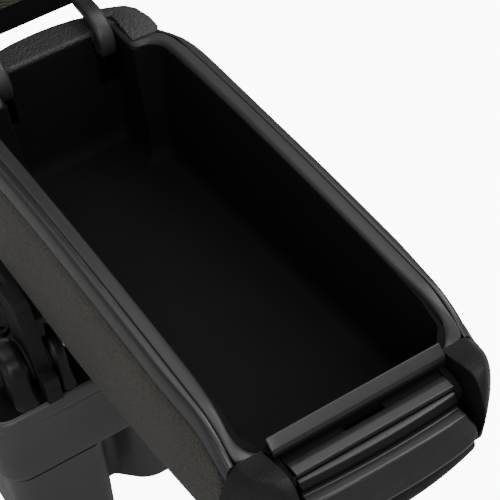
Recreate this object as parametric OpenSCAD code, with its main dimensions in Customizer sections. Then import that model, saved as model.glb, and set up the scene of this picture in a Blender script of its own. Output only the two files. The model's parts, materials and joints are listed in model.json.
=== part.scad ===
// Car centre armrest: a lidded storage box that tilts on a saddle adapter for the centre console.
// Millimetres, +Z up. The origin is the middle of the flat foot of the console plug.
// The box looks towards -Y. It is drawn in its own frame, whose y = 0 is the front end of the
// rim and whose z = 0 is the highest line of the rim, and is then moved to its place.

/* [Storage box] */
// Half width over the top edge of the rim
rim_half = 57; // [52:0.5:64]
// Length from the front end of the rim to the back of the rear cover
box_len = 283.4; // [265:0.2:310]
// Depth from the top of the rim to the underside at the rear
shell_depth = 83; // [76:0.5:96]
// How far the sides swell out past the rim
belly = 11; // [7:0.5:15]
// Wall of the outer shell
shell_wall = 2.4; // [2:0.1:3]
// Fall of the rim towards both ends of its long curve
rim_crown = 3.6; // [2:0.1:6]
// Extra fall of the rim at its front end
nose_drop = 11; // [6:0.5:13]
// Length over which the rim falls to the front
nose_len = 26; // [18:1:40]
// Steepness of the rising underside towards the front
nose_slope = 0.2; // [0.1:0.01:0.24]
// Length of the rounded rear corners
corner_len = 53.4; // [45:0.2:62]

/* [Bin liner] */
// Half width of the bin opening
opening_half = 47.8; // [44:0.1:50]
// Wall of the bin
bin_wall = 2; // [1.6:0.1:2.6]
// Depth of the bin floor below the top of the rim
bin_depth = 72; // [60:0.5:73]
// Half width of the hinge bay behind the bin
bay_half = 34.2; // [34:0.1:35.5]
// Width of the flange seam on the rim
seam_gap = 0.5; // [0.3:0.1:0.8]

/* [Front moulding] */
// Half width between the inner walls of the corner cheeks
cheek_in = 42.3; // [41.6:0.1:44]
// How far the cheeks stand in front of the rim
cheek_reach = 29.5; // [26:0.5:33]
// Half width of the ledge bar
ledge_half = 40.8; // [36:0.1:41]
// Half width of the stepped moulding and the release handle
step_half = 37.2; // [33:0.1:39]
// How far the middle of the handle lip bows forward
lip_bow = 2.5; // [1:0.5:6]
// Radius of the handle pin
handle_pin_r = 1.5; // [1.2:0.1:1.8]

/* [Lid] */
// Opening angle of the lid at its stop
lid_open = 94; // [90:1:100]
// Thickness of the lid at the middle of its pad
lid_thick = 30; // [22:1:38]
// Width of each hinge arm
arm_w = 9.2; // [7:0.1:11]
// Outer radius of the hinge arm about its pin
arm_r = 18.4; // [17:0.1:19]
// Inner radius of the hinge arm about its pin
arm_in_r = 12.6; // [12.2:0.1:13.4]
// Radius of the lid hinge pin
hinge_pin_r = 1.9; // [1.6:0.1:2.1]

/* [Console saddle] */
// Half width of the saddle cap
cap_half = 106; // [100:1:116]
// Length of the cap from front to back
cap_len = 110; // [104:1:130]
// Height of the cap
cap_h = 48; // [42:1:60]
// Height of the cap's upper lip
cap_lip = 8.5; // [6:0.5:12]
// Height of the plug below the cap
plug_h = 64; // [50:1:80]
// Wall of the plug
plug_wall = 3; // [2.4:0.1:3.6]
// Half width of the whole plug
plug_half = 103; // [98:0.5:105]

/* [Tilt pivot] */
// Height of the tilt axle above the cap
pivot_h = 15; // [14:0.5:18]
// Radius of the tilt axle
axle_r = 4; // [3:0.1:5]
// Distance between the middles of the two tilt arms
tilt_arm_gap = 139; // [137:0.5:141]
// Thickness of each tilt arm
tilt_arm_t = 8; // [6:0.2:8.4]
// Height of the box rim above the tilt axle
rim_rise = 114; // [110:0.5:126]
// Forward reach of the box in front of the tilt axle
box_reach = 186.8; // [180:0.2:196]

/* [Hidden] */
$fn = 48;

black = [0.035, 0.035, 0.037];
satin = [0.05, 0.05, 0.052];
grain = [0.085, 0.083, 0.078];
deep = [0.012, 0.012, 0.012];
steel = [0.55, 0.56, 0.57];
rubber = [0.02, 0.02, 0.02];

// Clearances that the fits share
face_gap = 0.3;     // between parts of different bodies that lie face to face
run_gap = 0.05;     // radial, pin to running bore
seat_gap = 0.02;    // radial, pin to the bore that holds it
trim_gap = 0.8;     // shadow line between trim pieces

// Heights and places in the part's frame
cap_z = plug_h;
cap_top_z = cap_z + cap_h;
pivot_z = cap_top_z + pivot_h;
pivot_y = -cap_len / 2 + 20.8;
box_y = pivot_y - box_reach;
box_z = pivot_z + rim_rise;

// Lid hinge in the box frame
hinge_y = box_len - 10.8;
hinge_z = -13.4;
lid_rear_y = hinge_y - 11.6;
lid_under = 0.5;
arm_x = bay_half - trim_gap - arm_w;
hub_r = 4.1;

// Shapes that many pieces share

// Closes a stack of rings, each with the same number of points, into one solid.
// Seen from the last ring a ring runs anticlockwise, and the end faces join its points in pairs.
module skin(rings) {
    n = len(rings[0]);
    m = len(rings);
    points = [for (r = rings) each r];
    walls = [for (j = [0:m - 2], i = [0:n - 1])
        [j * n + i, (j + 1) * n + i, (j + 1) * n + (i + 1) % n, j * n + (i + 1) % n]];
    strip = [for (i = [0:floor((n - 1) / 2) - 1]) each i + 1 < n - 2 - i
        ? [[i, i + 1, n - 1 - i], [i + 1, n - 2 - i, n - 1 - i]] : [[i, i + 1, n - 1 - i]]];
    last = [for (t = strip) [for (k = [2, 1, 0]) (m - 1) * n + t[k]]];
    polyhedron(points = points, faces = concat(strip, walls, last), convexity = 10);
}

// Points of a closed outline whose corners [x, y, radius] are rounded with k steps each
function rounded(c, k = 4) = let (m = len(c)) [for (i = [0:m - 1])
    let (p = c[(i + m - 1) % m], q = c[i], s = c[(i + 1) % m],
         a = [p[0] - q[0], p[1] - q[1]] / norm([p[0] - q[0], p[1] - q[1]]),
         b = [s[0] - q[0], s[1] - q[1]] / norm([s[0] - q[0], s[1] - q[1]]),
         half = acos(max(-1, min(1, a * b))) / 2,
         reach = q[2] / tan(half),
         mid = [q[0], q[1]] + (a + b) / norm(a + b) * q[2] / sin(half),
         u = ([q[0], q[1]] + a * reach - mid) / q[2],
         v = ([q[0], q[1]] + b * reach - mid) / q[2])
    for (j = [0:k]) let (w = u * (1 - j / k) + v * (j / k)) mid + w / norm(w) * q[2]];

function up(outline, z) = [for (p = outline) [p[0], p[1], z]];
function lerp(a, b, t) = a + (b - a) * t;
function clamp01(t) = max(0, min(1, t));

// Height of the rim along the box
function rim_z(y) = -rim_crown * pow((y - box_len * 0.424) / (box_len * 0.424), 2)
    - nose_drop * pow(max(0, nose_len - y) / nose_len, 2);

// Height of the underside along the box
rise_from = box_len / 2;
function under_z(y) = let (d = max(0, rise_from - y)) -shell_depth + nose_slope * d * d / (d + 25);

// Plan of the rim: straight sides and superelliptic rear corners, with its outward normals
corner_n = 3.2;
side_steps = 9;
corner_y = box_len - corner_len;
plan_right = concat(
    [for (i = [0:side_steps]) let (y = corner_y * pow(i / side_steps, 1.5)) [rim_half, y, 1, 0]],
    [for (a = [10:10:90])
        let (c = pow(max(cos(a), 0), 2 / corner_n), s = pow(sin(a), 2 / corner_n),
             g = [pow(c, corner_n - 1) / rim_half, pow(s, corner_n - 1) / corner_len],
             u = g / norm(g))
        [rim_half * c, corner_y + corner_len * s, u[0], u[1]]]);
plan_left = [for (i = [len(plan_right) - 2:-1:0])
    [-plan_right[i][0], plan_right[i][1], -plan_right[i][2], plan_right[i][3]]];
rim_plan = concat(plan_right, plan_left);

// A point of the side, moved out from the rim plan by d, at height z
function out_pt(p, d, z) = [p[0] + p[2] * d, p[1] + p[3] * d, z];

// Swell of the side at depth fraction t, less towards the front and the rear
shell_top_out = 2.3;
shell_foot_out = 3.7;
function swell(p, t) = let (
    full = belly - 2.2 * clamp01((60 - p[1]) / 60) - 2.5 * clamp01(p[3]),
    base = lerp(shell_top_out, shell_foot_out, t))
    base + (full - base) * pow(max(0, sin(180 * pow(t, 0.92))), 0.8);

shell_top = 10.2;
function shell_sec(p, drop = shell_top) = let (
    z0 = rim_z(p[1]) - drop, z1 = under_z(p[1]), outs = 8, ins = 8)
    concat([for (i = [0:outs]) let (t = i / outs) out_pt(p, swell(p, t), lerp(z0, z1, t))],
           [for (i = [ins:-1:0]) let (t = i / ins)
               out_pt(p, swell(p, t) - shell_wall, lerp(z0, z1, t))]);

module at_box() { translate([0, box_y, box_z]) children(); }
module at_lid() {
    at_box() translate([0, hinge_y, hinge_z]) rotate([-lid_open, 0, 0])
        translate([0, -hinge_y, -hinge_z]) children();
}
module along_x(x0, x1) {
    translate([x0, 0, 0]) rotate([90, 0, 90]) linear_extrude(x1 - x0) children();
}
module rod_x(x0, x1, y, z, r) {
    translate([x0, y, z]) rotate([0, 90, 0]) cylinder(h = x1 - x0, r = r);
}
module each_side() {
    for (s = [-1, 1]) scale_x(s) children();
}
module scale_x(s) {
    if (s > 0) children();
    else mirror([1, 0, 0]) children();
}

// Screw with a domed head; its tip points down and its seat is at z = 0
module screw(shank_r, shank_l, head_r, head_h) {
    translate([0, 0, -shank_l]) cylinder(h = shank_l, r = shank_r, $fn = 24);
    difference() {
        cylinder(h = head_h, r1 = head_r, r2 = head_r * 0.8, $fn = 24);
        translate([0, 0, head_h * 0.45]) cylinder(h = head_h, r = head_r * 0.42, $fn = 6);
    }
}

// Console saddle

plug_mid_r = 47;
plug_neck = 24;
lobe_in = 50;
plug_front = cap_len / 2 - 1.2;
function plug_outline(d) = let (f = plug_front - d, h = plug_half - d, n = plug_neck - d,
    q = lobe_in + d, m = plug_mid_r - d)
    rounded([[h, f, 12], [q, f, 9], [q - 5, n, 3], [m * 0.62, m * 0.99, 18],
             [-m * 0.62, m * 0.99, 18], [-q + 5, n, 3], [-q, f, 9], [-h, f, 12], [-h, -f, 12],
             [-q, -f, 9], [-q + 5, -n, 3], [-m * 0.62, -m * 0.99, 18], [m * 0.62, -m * 0.99, 18],
             [q - 5, -n, 3], [q, -f, 9], [h, -f, 12]], 3);
foot_screw_x = plug_half - 27;
foot_screw_r = 2.2;
tab_t = 4;
module console_plug() {
    color(satin) difference() {
        union() {
            skin([up(plug_outline(6), 0), up(plug_outline(3.2), 1.2), up(plug_outline(1.6), 5),
                  up(plug_outline(0), plug_h), up(plug_outline(plug_wall), plug_h),
                  up(plug_outline(plug_wall + 1.6), plug_wall + 5),
                  up(plug_outline(plug_wall + 6), plug_wall)]);
            for (sx = [-1, 1], sy = [-1, 1]) scale_x(sx)
                translate([cap_post_x - 6, sy * cap_post_y - 6, plug_h - tab_t])
                    cube([plug_half - plug_wall + 0.5 - cap_post_x + 6, 12, tab_t]);
        }
        for (s = [-1, 1]) translate([s * foot_screw_x, 0, -1])
            cylinder(h = plug_wall + 2, r = foot_screw_r);
        for (sx = [-1, 1], sy = [-1, 1])
            translate([sx * cap_post_x, sy * cap_post_y, plug_h - tab_t - 1])
                cylinder(h = tab_t + 2, r = post_bore + seat_gap);
    }
}

cap_r = 14;
function cap_outline(d, r = cap_r) = rounded([[cap_half - d, -cap_len / 2 + d, r - d],
    [cap_half - d, cap_len / 2 - d, r - d], [-cap_half + d, cap_len / 2 - d, r - d],
    [-cap_half + d, -cap_len / 2 + d, r - d]], 6);
cap_wall = 3;
cap_post_x = plug_half - 19;
cap_post_y = plug_front - 19.8;
post_r = 5;
post_bore = 1.7;
module cap_base() {
    lip_z = cap_top_z - cap_lip;
    color(satin) difference() {
        union() {
            difference() {
                skin([up(cap_outline(2.4), cap_z), up(cap_outline(1.2), cap_z + 1.2),
                      up(cap_outline(0.4), lip_z - trim_gap),
                      up(cap_outline(3), lip_z - trim_gap)]);
                skin([up(cap_outline(cap_wall + 2), cap_z + cap_wall),
                      up(cap_outline(cap_wall + 1), lip_z + 1)]);
            }
            for (sx = [-1, 1], sy = [-1, 1])
                translate([sx * cap_post_x, sy * cap_post_y, cap_z + cap_wall])
                    cylinder(h = lip_z - trim_gap - cap_z - cap_wall, r = post_r);
        }
        for (sx = [-1, 1], sy = [-1, 1])
            translate([sx * cap_post_x, sy * cap_post_y, cap_z - 1])
                cylinder(h = 14, r = post_bore + seat_gap);
    }
}

module cap_top() {
    lip_z = cap_top_z - cap_lip;
    color(satin) difference() {
        skin([up(cap_outline(3), lip_z - trim_gap), up(cap_outline(0.2), lip_z - 0.01),
              up(cap_outline(0), lip_z + 1), up(cap_outline(0), cap_top_z - 3),
              up(cap_outline(0.9), cap_top_z - 0.9), up(cap_outline(3), cap_top_z)]);
        skin([up(cap_outline(cap_wall + 1), lip_z - 2),
              up(cap_outline(cap_wall + 1), cap_top_z - cap_wall)]);
        for (s = [-1, 1], y = saddle_screw_ys)
            translate([s * saddle_mid, y, cap_top_z - cap_wall - 1])
                cylinder(h = cap_wall + 2, r = saddle_screw_r + seat_gap);
    }
}

module plug_screws() {
    color(steel) for (sx = [-1, 1], sy = [-1, 1])
        translate([sx * cap_post_x, sy * cap_post_y, cap_z - tab_t]) mirror([0, 0, 1])
            screw(post_bore, tab_t + 11, 3.4, 2);
}

pad_t = 1.6;
pad_x = lobe_in - 9;
pad_y = plug_front - 9.8;
module console_pads() {
    color(rubber) for (sx = [-1, 1], sy = [-1, 1])
        translate([sx * pad_x, sy * pad_y, cap_z - pad_t])
            linear_extrude(pad_t) difference() {
                square([8, 10], center = true);
                square([3, 5], center = true);
            }
}

// Saddles that carry the axle on both sides of each tilt arm
saddle_gap = 1.8;
saddle_in_t = 8.3;
saddle_out_t = 13.8;
saddle_r = 14.2;
arm_mid = tilt_arm_gap / 2;
saddle_in = arm_mid - tilt_arm_t / 2 - saddle_gap - saddle_in_t;
saddle_out = arm_mid + tilt_arm_t / 2 + saddle_gap + saddle_out_t;
saddle_mid = (saddle_in + saddle_out) / 2;
saddle_screw_r = 2;
saddle_screw_ys = [pivot_y + 34, pivot_y + 46];
module saddle_profile() {
    circle(r = saddle_r);
    polygon([[-saddle_r, 0], [saddle_r, 0], [saddle_r + 6, -pivot_h + 3], [saddle_r + 8, -pivot_h],
             [-saddle_r - 4, -pivot_h], [-saddle_r - 3, -pivot_h + 3]]);
}
module saddle() {
    color(satin) difference() {
        translate([0, pivot_y, pivot_z]) {
            intersection() {
                union() {
                    along_x(saddle_in, saddle_in + saddle_in_t) saddle_profile();
                    along_x(saddle_out - saddle_out_t, saddle_out) saddle_profile();
                    along_x(saddle_in, saddle_out)
                        translate([saddle_r + 2, -pivot_h]) square([36, 4]);
                }
                translate([0, -60, -pivot_h]) cube([200, 160, 60]);
            }
        }
        rod_x(saddle_in - 1, saddle_out + 1, pivot_y, pivot_z, axle_r + seat_gap);
        for (y = saddle_screw_ys) translate([saddle_mid, y, cap_top_z - 1])
            cylinder(h = 8, r = saddle_screw_r + seat_gap);
    }
}
module saddle_left() { mirror([1, 0, 0]) saddle(); }
module saddle_right() { saddle(); }
module saddle_screws() {
    color(steel) for (s = [-1, 1], y = saddle_screw_ys)
        translate([s * saddle_mid, y, cap_top_z + 4])
            screw(saddle_screw_r, 4 + cap_wall + 2, 4, 2.2);
}

axle_cap_t = 3;
axle_half = saddle_out + 1.5;
module tilt_axle() { color(steel) rod_x(-axle_half, axle_half, pivot_y, pivot_z, axle_r); }
module axle_caps() {
    color(black) each_side() difference() {
        rod_x(saddle_out, axle_half + axle_cap_t, pivot_y, pivot_z, axle_r + 4);
        rod_x(saddle_out - 1, axle_half, pivot_y, pivot_z, axle_r + seat_gap);
    }
}
washer_t = 1.4;
module tilt_washers() {
    inner = saddle_in + saddle_in_t;
    outer = arm_mid + tilt_arm_t / 2 + saddle_gap;
    color(steel) each_side() for (x = [inner, outer - washer_t]) difference() {
        rod_x(x, x + washer_t, pivot_y, pivot_z, 11);
        rod_x(x - 1, x + washer_t + 1, pivot_y, pivot_z, axle_r + seat_gap);
    }
}

// Tilt arms and the plate under the box
bracket_t = 3;
bracket_z = box_z - shell_depth - bracket_t;
arm_top_z = box_z - shell_depth + 10;
bush_wall = 2.4;
arm_hub_r = 12;
toe_len = 9;
toe_z = cap_top_z + 8;
module tilt_stops() {
    color(rubber) each_side()
        translate([arm_mid - tilt_arm_t / 2, pivot_y - arm_hub_r - toe_len, cap_top_z])
            cube([tilt_arm_t, toe_len, toe_z - cap_top_z - face_gap]);
}
module tilt_arm_shape() {
    difference() {
        union() {
            circle(r = arm_hub_r);
            polygon([[-arm_hub_r, 0], [arm_hub_r * 0.94, arm_hub_r * 0.3],
                     [16, bracket_z - pivot_z], [16, arm_top_z - pivot_z - 3],
                     [13, arm_top_z - pivot_z], [-3, arm_top_z - pivot_z],
                     [-6, arm_top_z - pivot_z - 3], [-9, bracket_z - pivot_z]]);
            translate([-arm_hub_r - toe_len, toe_z - pivot_z])
                square([toe_len + arm_hub_r, 8]);
        }
        circle(r = axle_r + run_gap + bush_wall + seat_gap);
    }
}
plate_y0 = pivot_y - 9;
plate_y1 = box_y + box_len - 22.6;
bracket_screw_x = rim_half - 13;
bracket_screw_ys = [plate_y0 + 12, plate_y1 - 12];
bracket_screw_r = 2.5;
module tilt_bracket() {
    x0 = arm_mid - tilt_arm_t / 2;
    x1 = arm_mid + tilt_arm_t / 2;
    color(black) difference() {
        union() {
            each_side() translate([0, pivot_y, pivot_z]) along_x(x0, x1) tilt_arm_shape();
            translate([-x0, plate_y0, bracket_z]) cube([2 * x0, plate_y1 - plate_y0, bracket_t]);
            each_side() translate([x0 - 3, plate_y0, bracket_z - 9])
                cube([3, plate_y1 - plate_y0 - 20, 9]);
        }
        for (s = [-1, 1], y = bracket_screw_ys) translate([s * bracket_screw_x, y, bracket_z - 1])
            cylinder(h = bracket_t + 2, r = bracket_screw_r + seat_gap);
    }
}
module tilt_bushes() {
    color(rubber) each_side() difference() {
        rod_x(arm_mid - tilt_arm_t / 2, arm_mid + tilt_arm_t / 2, pivot_y, pivot_z,
              axle_r + run_gap + bush_wall);
        rod_x(arm_mid - tilt_arm_t, arm_mid + tilt_arm_t, pivot_y, pivot_z, axle_r + run_gap);
    }
}
module bracket_screws() {
    color(steel) for (s = [-1, 1], y = bracket_screw_ys)
        translate([s * bracket_screw_x, y, bracket_z]) mirror([0, 0, 1])
            screw(bracket_screw_r, bracket_t + pan_t, 4.6, 2.4);
}

// Storage box

module outer_shell() {
    color(grain) at_box() skin([for (p = rim_plan) shell_sec(p)]);
}

pan_t = 2.5;
pan_front = -13.8;
module bottom_pan() {
    d = shell_foot_out - shell_wall - 0.05;
    stations = concat([[pan_front, cheek_in - 0.3], [-0.7, cheek_in - 0.3]],
        [for (i = [0:len(plan_right) - 2]) let (p = plan_right[i])
            [p[1] + p[3] * d, p[0] + p[2] * d]]);
    m = len(stations);
    color(black) at_box() difference() {
        skin([for (i = [m - 1:-1:0]) let (
            y = stations[i][0], w = stations[i][1], z = under_z(y))
            [[-w, y, z], [w, y, z], [w, y, z + pan_t], [-w, y, z + pan_t]]]);
        for (s = [-1, 1], y = bracket_screw_ys)
            translate([s * bracket_screw_x, y - box_y, -shell_depth - 1])
                cylinder(h = pan_t + 2, r = bracket_screw_r + seat_gap);
    }
}

// Bin liner: closed loops from the foot up the outside, round the flange and down inside.
// w is the share of the flange width, drop the height below the rim, f the floor height.
bin_front = 1.5;
bin_rear = box_len - 45.4;
bay_rear = box_len - 21.4;
flange_out = rim_half - 2.5 - seam_gap;
flange_t = 2;
bin_r = 8;
flange_front = -1.2;
bay_wall = 1.3;
bay_skew = 0.5;
function bin_loop(d, r, g) = let (b = bay_rear - max(g, 0.3 - bay_wall)) rounded([
    [opening_half - d - 6, bin_front + d, 3], [opening_half - d, bin_front + d + 6.4, 3],
    [opening_half - d, bin_rear - d, r], [bay_half - g, bin_rear - d + bay_skew, 1.5],
    [bay_half - g, b, 4], [-bay_half + g, b, 4],
    [-bay_half + g, bin_rear - d + bay_skew, 1.5], [-opening_half + d, bin_rear - d, r],
    [-opening_half + d, bin_front + d + 6.4, 3], [-opening_half + d + 6, bin_front + d, 3]], 4);
function flange_loop(d) = rounded([
    [flange_out - d - 4, -0.2, 1], [flange_out - d, 0.6, 0.5],
    [flange_out - d, bin_rear + 6.4, 4], [bay_half + 4 - d, bin_rear + 6.6, 1.5],
    [bay_half + 4 - d, bay_rear + bay_wall, 1], [-bay_half - 4 + d, bay_rear + bay_wall, 1],
    [-bay_half - 4 + d, bin_rear + 6.6, 1.5], [-flange_out + d, bin_rear + 6.4, 4],
    [-flange_out + d, 0.6, 0.5], [-flange_out + d + 4, -0.2, 1]], 4);
module bin_liner() {
    inner = bin_loop(0, bin_r, 0);
    rim = flange_loop(0);
    outer = bin_loop(-bin_wall, bin_r + bin_wall, -bin_wall);
    color(deep) at_box() difference() {
        skin([
            bin_floor(bin_loop(9 - bin_wall, bin_r, 5 - bin_wall), -bin_wall),
            bin_floor(bin_loop(5 - bin_wall, bin_r, 1 - bin_wall), 3),
            [for (p = outer) [p[0], p[1], rim_top(p[1]) - flange_t - 0.8]],
            [for (p = rim) [p[0], p[1], rim_top(p[1]) - flange_t - 0.8]],
            [for (p = rim) [p[0], p[1], rim_top(p[1])]],
            [for (p = inner) [p[0], p[1], rim_top(p[1]) - 0.5]],
            bin_floor(bin_loop(5, bin_r, 1), 4),
            bin_floor(bin_loop(9, bin_r, 5), 0)]);
        for (s = [-1, 1]) scale_x(s)
            translate([arm_x - trim_gap, bay_rear - 6, -38])
                cube([arm_w + 2 * trim_gap, 12, 60]);
    }
}
// The bin floor rises to the front with the underside of the box
bin_rise = 19;
function bin_floor(outline, d) = [for (p = outline)
    [p[0], p[1], -bin_depth + bin_rise * (1 - p[1] / bin_rear) + d]];
// The flange follows the rim, but passes below the ledge bar at the front
function rim_top(y) = rim_z(max(y, 0)) - 0.1;

module rim_band() {
    color(satin) at_box() {
        stations = [for (i = [0:side_steps + 1]) plan_right[i]];
        each_side() skin([for (p = stations) let (z = rim_z(p[1]))
            [out_pt(p, -2.5, z - 0.2), out_pt(p, -1.0, z), out_pt(p, -0.2, z - 0.5),
             out_pt(p, 0.9, z - 2.4), out_pt(p, 1.7, z - 5.2), out_pt(p, 2.2, z - 9.3),
             out_pt(p, 0.4, z - 9.4), out_pt(p, -0.4, z - 4.4), out_pt(p, -2.5, z - 3)]]);
    }
}

// Rear cover with two lobes beside the hinge bay and lugs for the hinge pin
cover_t = 2;
cover_front = box_len - 19.8;
lobe_front = bin_rear + 7;
lobe_in_x = bay_half + 4.3;
lobe_out_x = rim_half - 3;
function cover_z(y) = rim_z(y) - 0.6;
lug_in = arm_x - 0.6 - 4;
lug_out = arm_x + arm_w + 0.6;
module rear_cover() {
    half_n = 8;
    back = box_len + 4;
    color(grain) at_box() difference() {
        union() {
            intersection() {
                skin([for (i = [0:half_n]) let (x = lerp(-rim_half, rim_half, i / half_n))
                    [[x, back, cover_z(back)], [x, cover_front, cover_z(cover_front)],
                     [x, lobe_front - 1, cover_z(lobe_front)],
                     [x, lobe_front - 1, cover_z(lobe_front) - cover_t],
                     [x, cover_front, cover_z(cover_front) - cover_t],
                     [x, back, cover_z(back) - cover_t]]]);
                translate([0, 0, -30]) linear_extrude(60) cover_plan();
            }
            skin([for (i = [side_steps + 1:len(rim_plan) - side_steps - 2])
                let (p = rim_plan[i], z = cover_z(p[1]))
                [out_pt(p, -2, z - 0.1), out_pt(p, -0.6, z - 0.1), out_pt(p, 0.5, z - 1.6),
                 out_pt(p, 1.6, z - 4.6), out_pt(p, 2.2, z - 8.7), out_pt(p, 0.6, z - 8.8),
                 out_pt(p, 0.1, z - 4.8), out_pt(p, -0.8, z - 2.4), out_pt(p, -2, z - 1.8)]]);
            for (s = [-1, 1], x = [lug_in, lug_out]) scale_x(s) along_x(x, x + 4) {
                translate([hinge_y - 4.4, hinge_z]) square([8.8, -hinge_z + cover_z(hinge_y) - 1]);
                translate([hinge_y, hinge_z]) circle(r = 4.4);
            }
        }
        rod_x(-60, 60, hinge_y, hinge_z, hinge_pin_r + seat_gap);
    }
}
module cover_plan() {
    polygon(concat(
        [[lobe_in_x, lobe_front], [lobe_out_x - 3.4, lobe_front], [lobe_out_x - 0.6, lobe_front + 2]],
        [for (i = [side_steps + 2:len(plan_right) - 1])
            [plan_right[i][0] - plan_right[i][2] * 0.8, plan_right[i][1] - plan_right[i][3] * 0.8]],
        [for (i = [len(plan_right) - 2:-1:side_steps + 2])
            [-plan_right[i][0] + plan_right[i][2] * 0.8, plan_right[i][1] - plan_right[i][3] * 0.8]],
        [[-lobe_out_x + 0.6, lobe_front + 2], [-lobe_out_x + 3.4, lobe_front],
         [-lobe_in_x, lobe_front], [-lobe_in_x, cover_front - 1], [-lobe_in_x + 1, cover_front],
         [lobe_in_x - 1, cover_front], [lobe_in_x, cover_front - 1]]));
}
module lid_hinge_pin() {
    color(steel) at_box() rod_x(-lug_out - 4, lug_out + 4, hinge_y, hinge_z, hinge_pin_r);
}

// Front pieces

// Corner cheeks carry the side round to the front and end at a flat inner wall
// Stations from the rim forwards, as shares of the reach: [share, fold x, widest x, foot x,
// crest z, foot z]
cheek_stations = [[0, 55.4, 64, 58.6, -13.4, -62.7], [0.17, 55, 62.2, 57, -12.3, -60],
    [0.34, 54.4, 59.8, 54.8, -10.9, -57.8], [0.475, 53.2, 57.2, 52.8, -9.6, -56],
    [0.61, 51, 54, 50, -8.8, -54.2], [0.71, 49.2, 51.2, 47.6, -8.6, -51.5],
    [0.81, 47.2, 48.2, 45.2, -10.2, -46.5], [0.9, 45.6, 45.8, 43.8, -14.2, -41],
    [0.965, 44, 43.8, 43, -19, -34], [1, 42.9, 42.9, 42.8, -23, -28]];
function cheek_bulge(t) = pow(max(0, sin(180 * pow(t, 0.85))), 0.8);
module cheek() {
    color(grain) at_box() skin([for (i = [len(cheek_stations) - 1:-1:0]) let (
        v = cheek_stations[i], k = rim_half / 57, y = -cheek_reach * v[0] - 0.8 * (1 - v[0]),
        fold = v[1] * k, mid = v[2] * k - lerp(fold + 0.6, v[3] * k, 0.45))
        [[cheek_in, y, v[4]], [fold - min(2.2, (fold - cheek_in) / 2), y, v[4] - 0.1],
         [fold, y, v[4] - 1.2],
         for (j = [1:7]) let (t = j / 7)
             [lerp(fold + 0.6, v[3] * k, t) + mid * cheek_bulge(t), y,
              lerp(v[4] - 1.6, v[5], t)],
         [cheek_in, y, v[5]]]]);
}
module cheek_left() { mirror([1, 0, 0]) cheek(); }
module cheek_right() { cheek(); }

ledge_rear = -2.3;
ledge_front = -6.6;
ledge_z = -6.8;
module ledge_bar() {
    color(satin) at_box() along_x(-ledge_half, ledge_half)
        polygon([[ledge_rear + 0.9, ledge_z - 0.2], [ledge_rear, ledge_z],
                 [ledge_front + 1.4, ledge_z - 2.9], [ledge_front + 0.3, ledge_z - 3.6],
                 [ledge_front, ledge_z - 4.5], [ledge_front, ledge_z - 6.9],
                 [ledge_front + 1.4, ledge_z - 6.9], [ledge_front + 1.6, ledge_z - 5.4],
                 [bulk_y, ledge_z - 3.2], [bulk_y, ledge_z - 9.2],
                 [ledge_rear + 0.9, ledge_z - 9.2]]);
}

bulk_y = -2.6;
bulk_t = 2;
bulk_top = -12.3;
step_z = -16.2;
step_t = 2.4;
step_front = -16.8;
step_rear = -9.4;
module nose_bulkhead() {
    foot = under_z(bulk_y) + pan_t + 1;
    face = bulk_y - bulk_t;
    color(black) at_box() difference() {
        union() {
            translate([-cheek_in + 0.4, face, foot])
                cube([2 * cheek_in - 0.8, bulk_t, bulk_top - foot]);
            for (s = [-1, 1]) scale_x(s) along_x(step_half + 0.5, step_half + 3.5) difference() {
                polygon([[face + 0.5, -17.5], [handle_y - 1.5, -18.5], [handle_y - 3.7, -21],
                         [handle_y - 3.7, -25], [-12, -30], [face + 0.5, -36]]);
                translate([handle_y, handle_z]) circle(r = handle_pin_r + seat_gap);
            }
        }
        for (s = [-1, 1]) translate([s * 20, 0, -40]) rotate([90, 0, 0])
            cylinder(h = 20, r = 4);
    }
}

module step_panel() {
    rear = bulk_y - bulk_t - 0.05;
    color(satin) at_box() difference() {
        along_x(-step_half, step_half)
            polygon([[rear, step_z - 1.8], [step_rear + 0.6, step_z - 1.8],
                     [step_rear - 0.1, step_z - 0.4], [step_rear - 1, step_z],
                     [step_front + 0.9, step_z],
                     [step_front, step_z - 0.7], [step_front, step_z - 2.1],
                     [step_front + 0.6, step_z - step_t], [step_rear, step_z - step_t - 0.6],
                     [rear, step_z - step_t - 0.6]]);
        translate([-catch_half - 1.5, -9.9, step_z - 10]) cube([2 * catch_half + 3, 8, 20]);
    }
}

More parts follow.
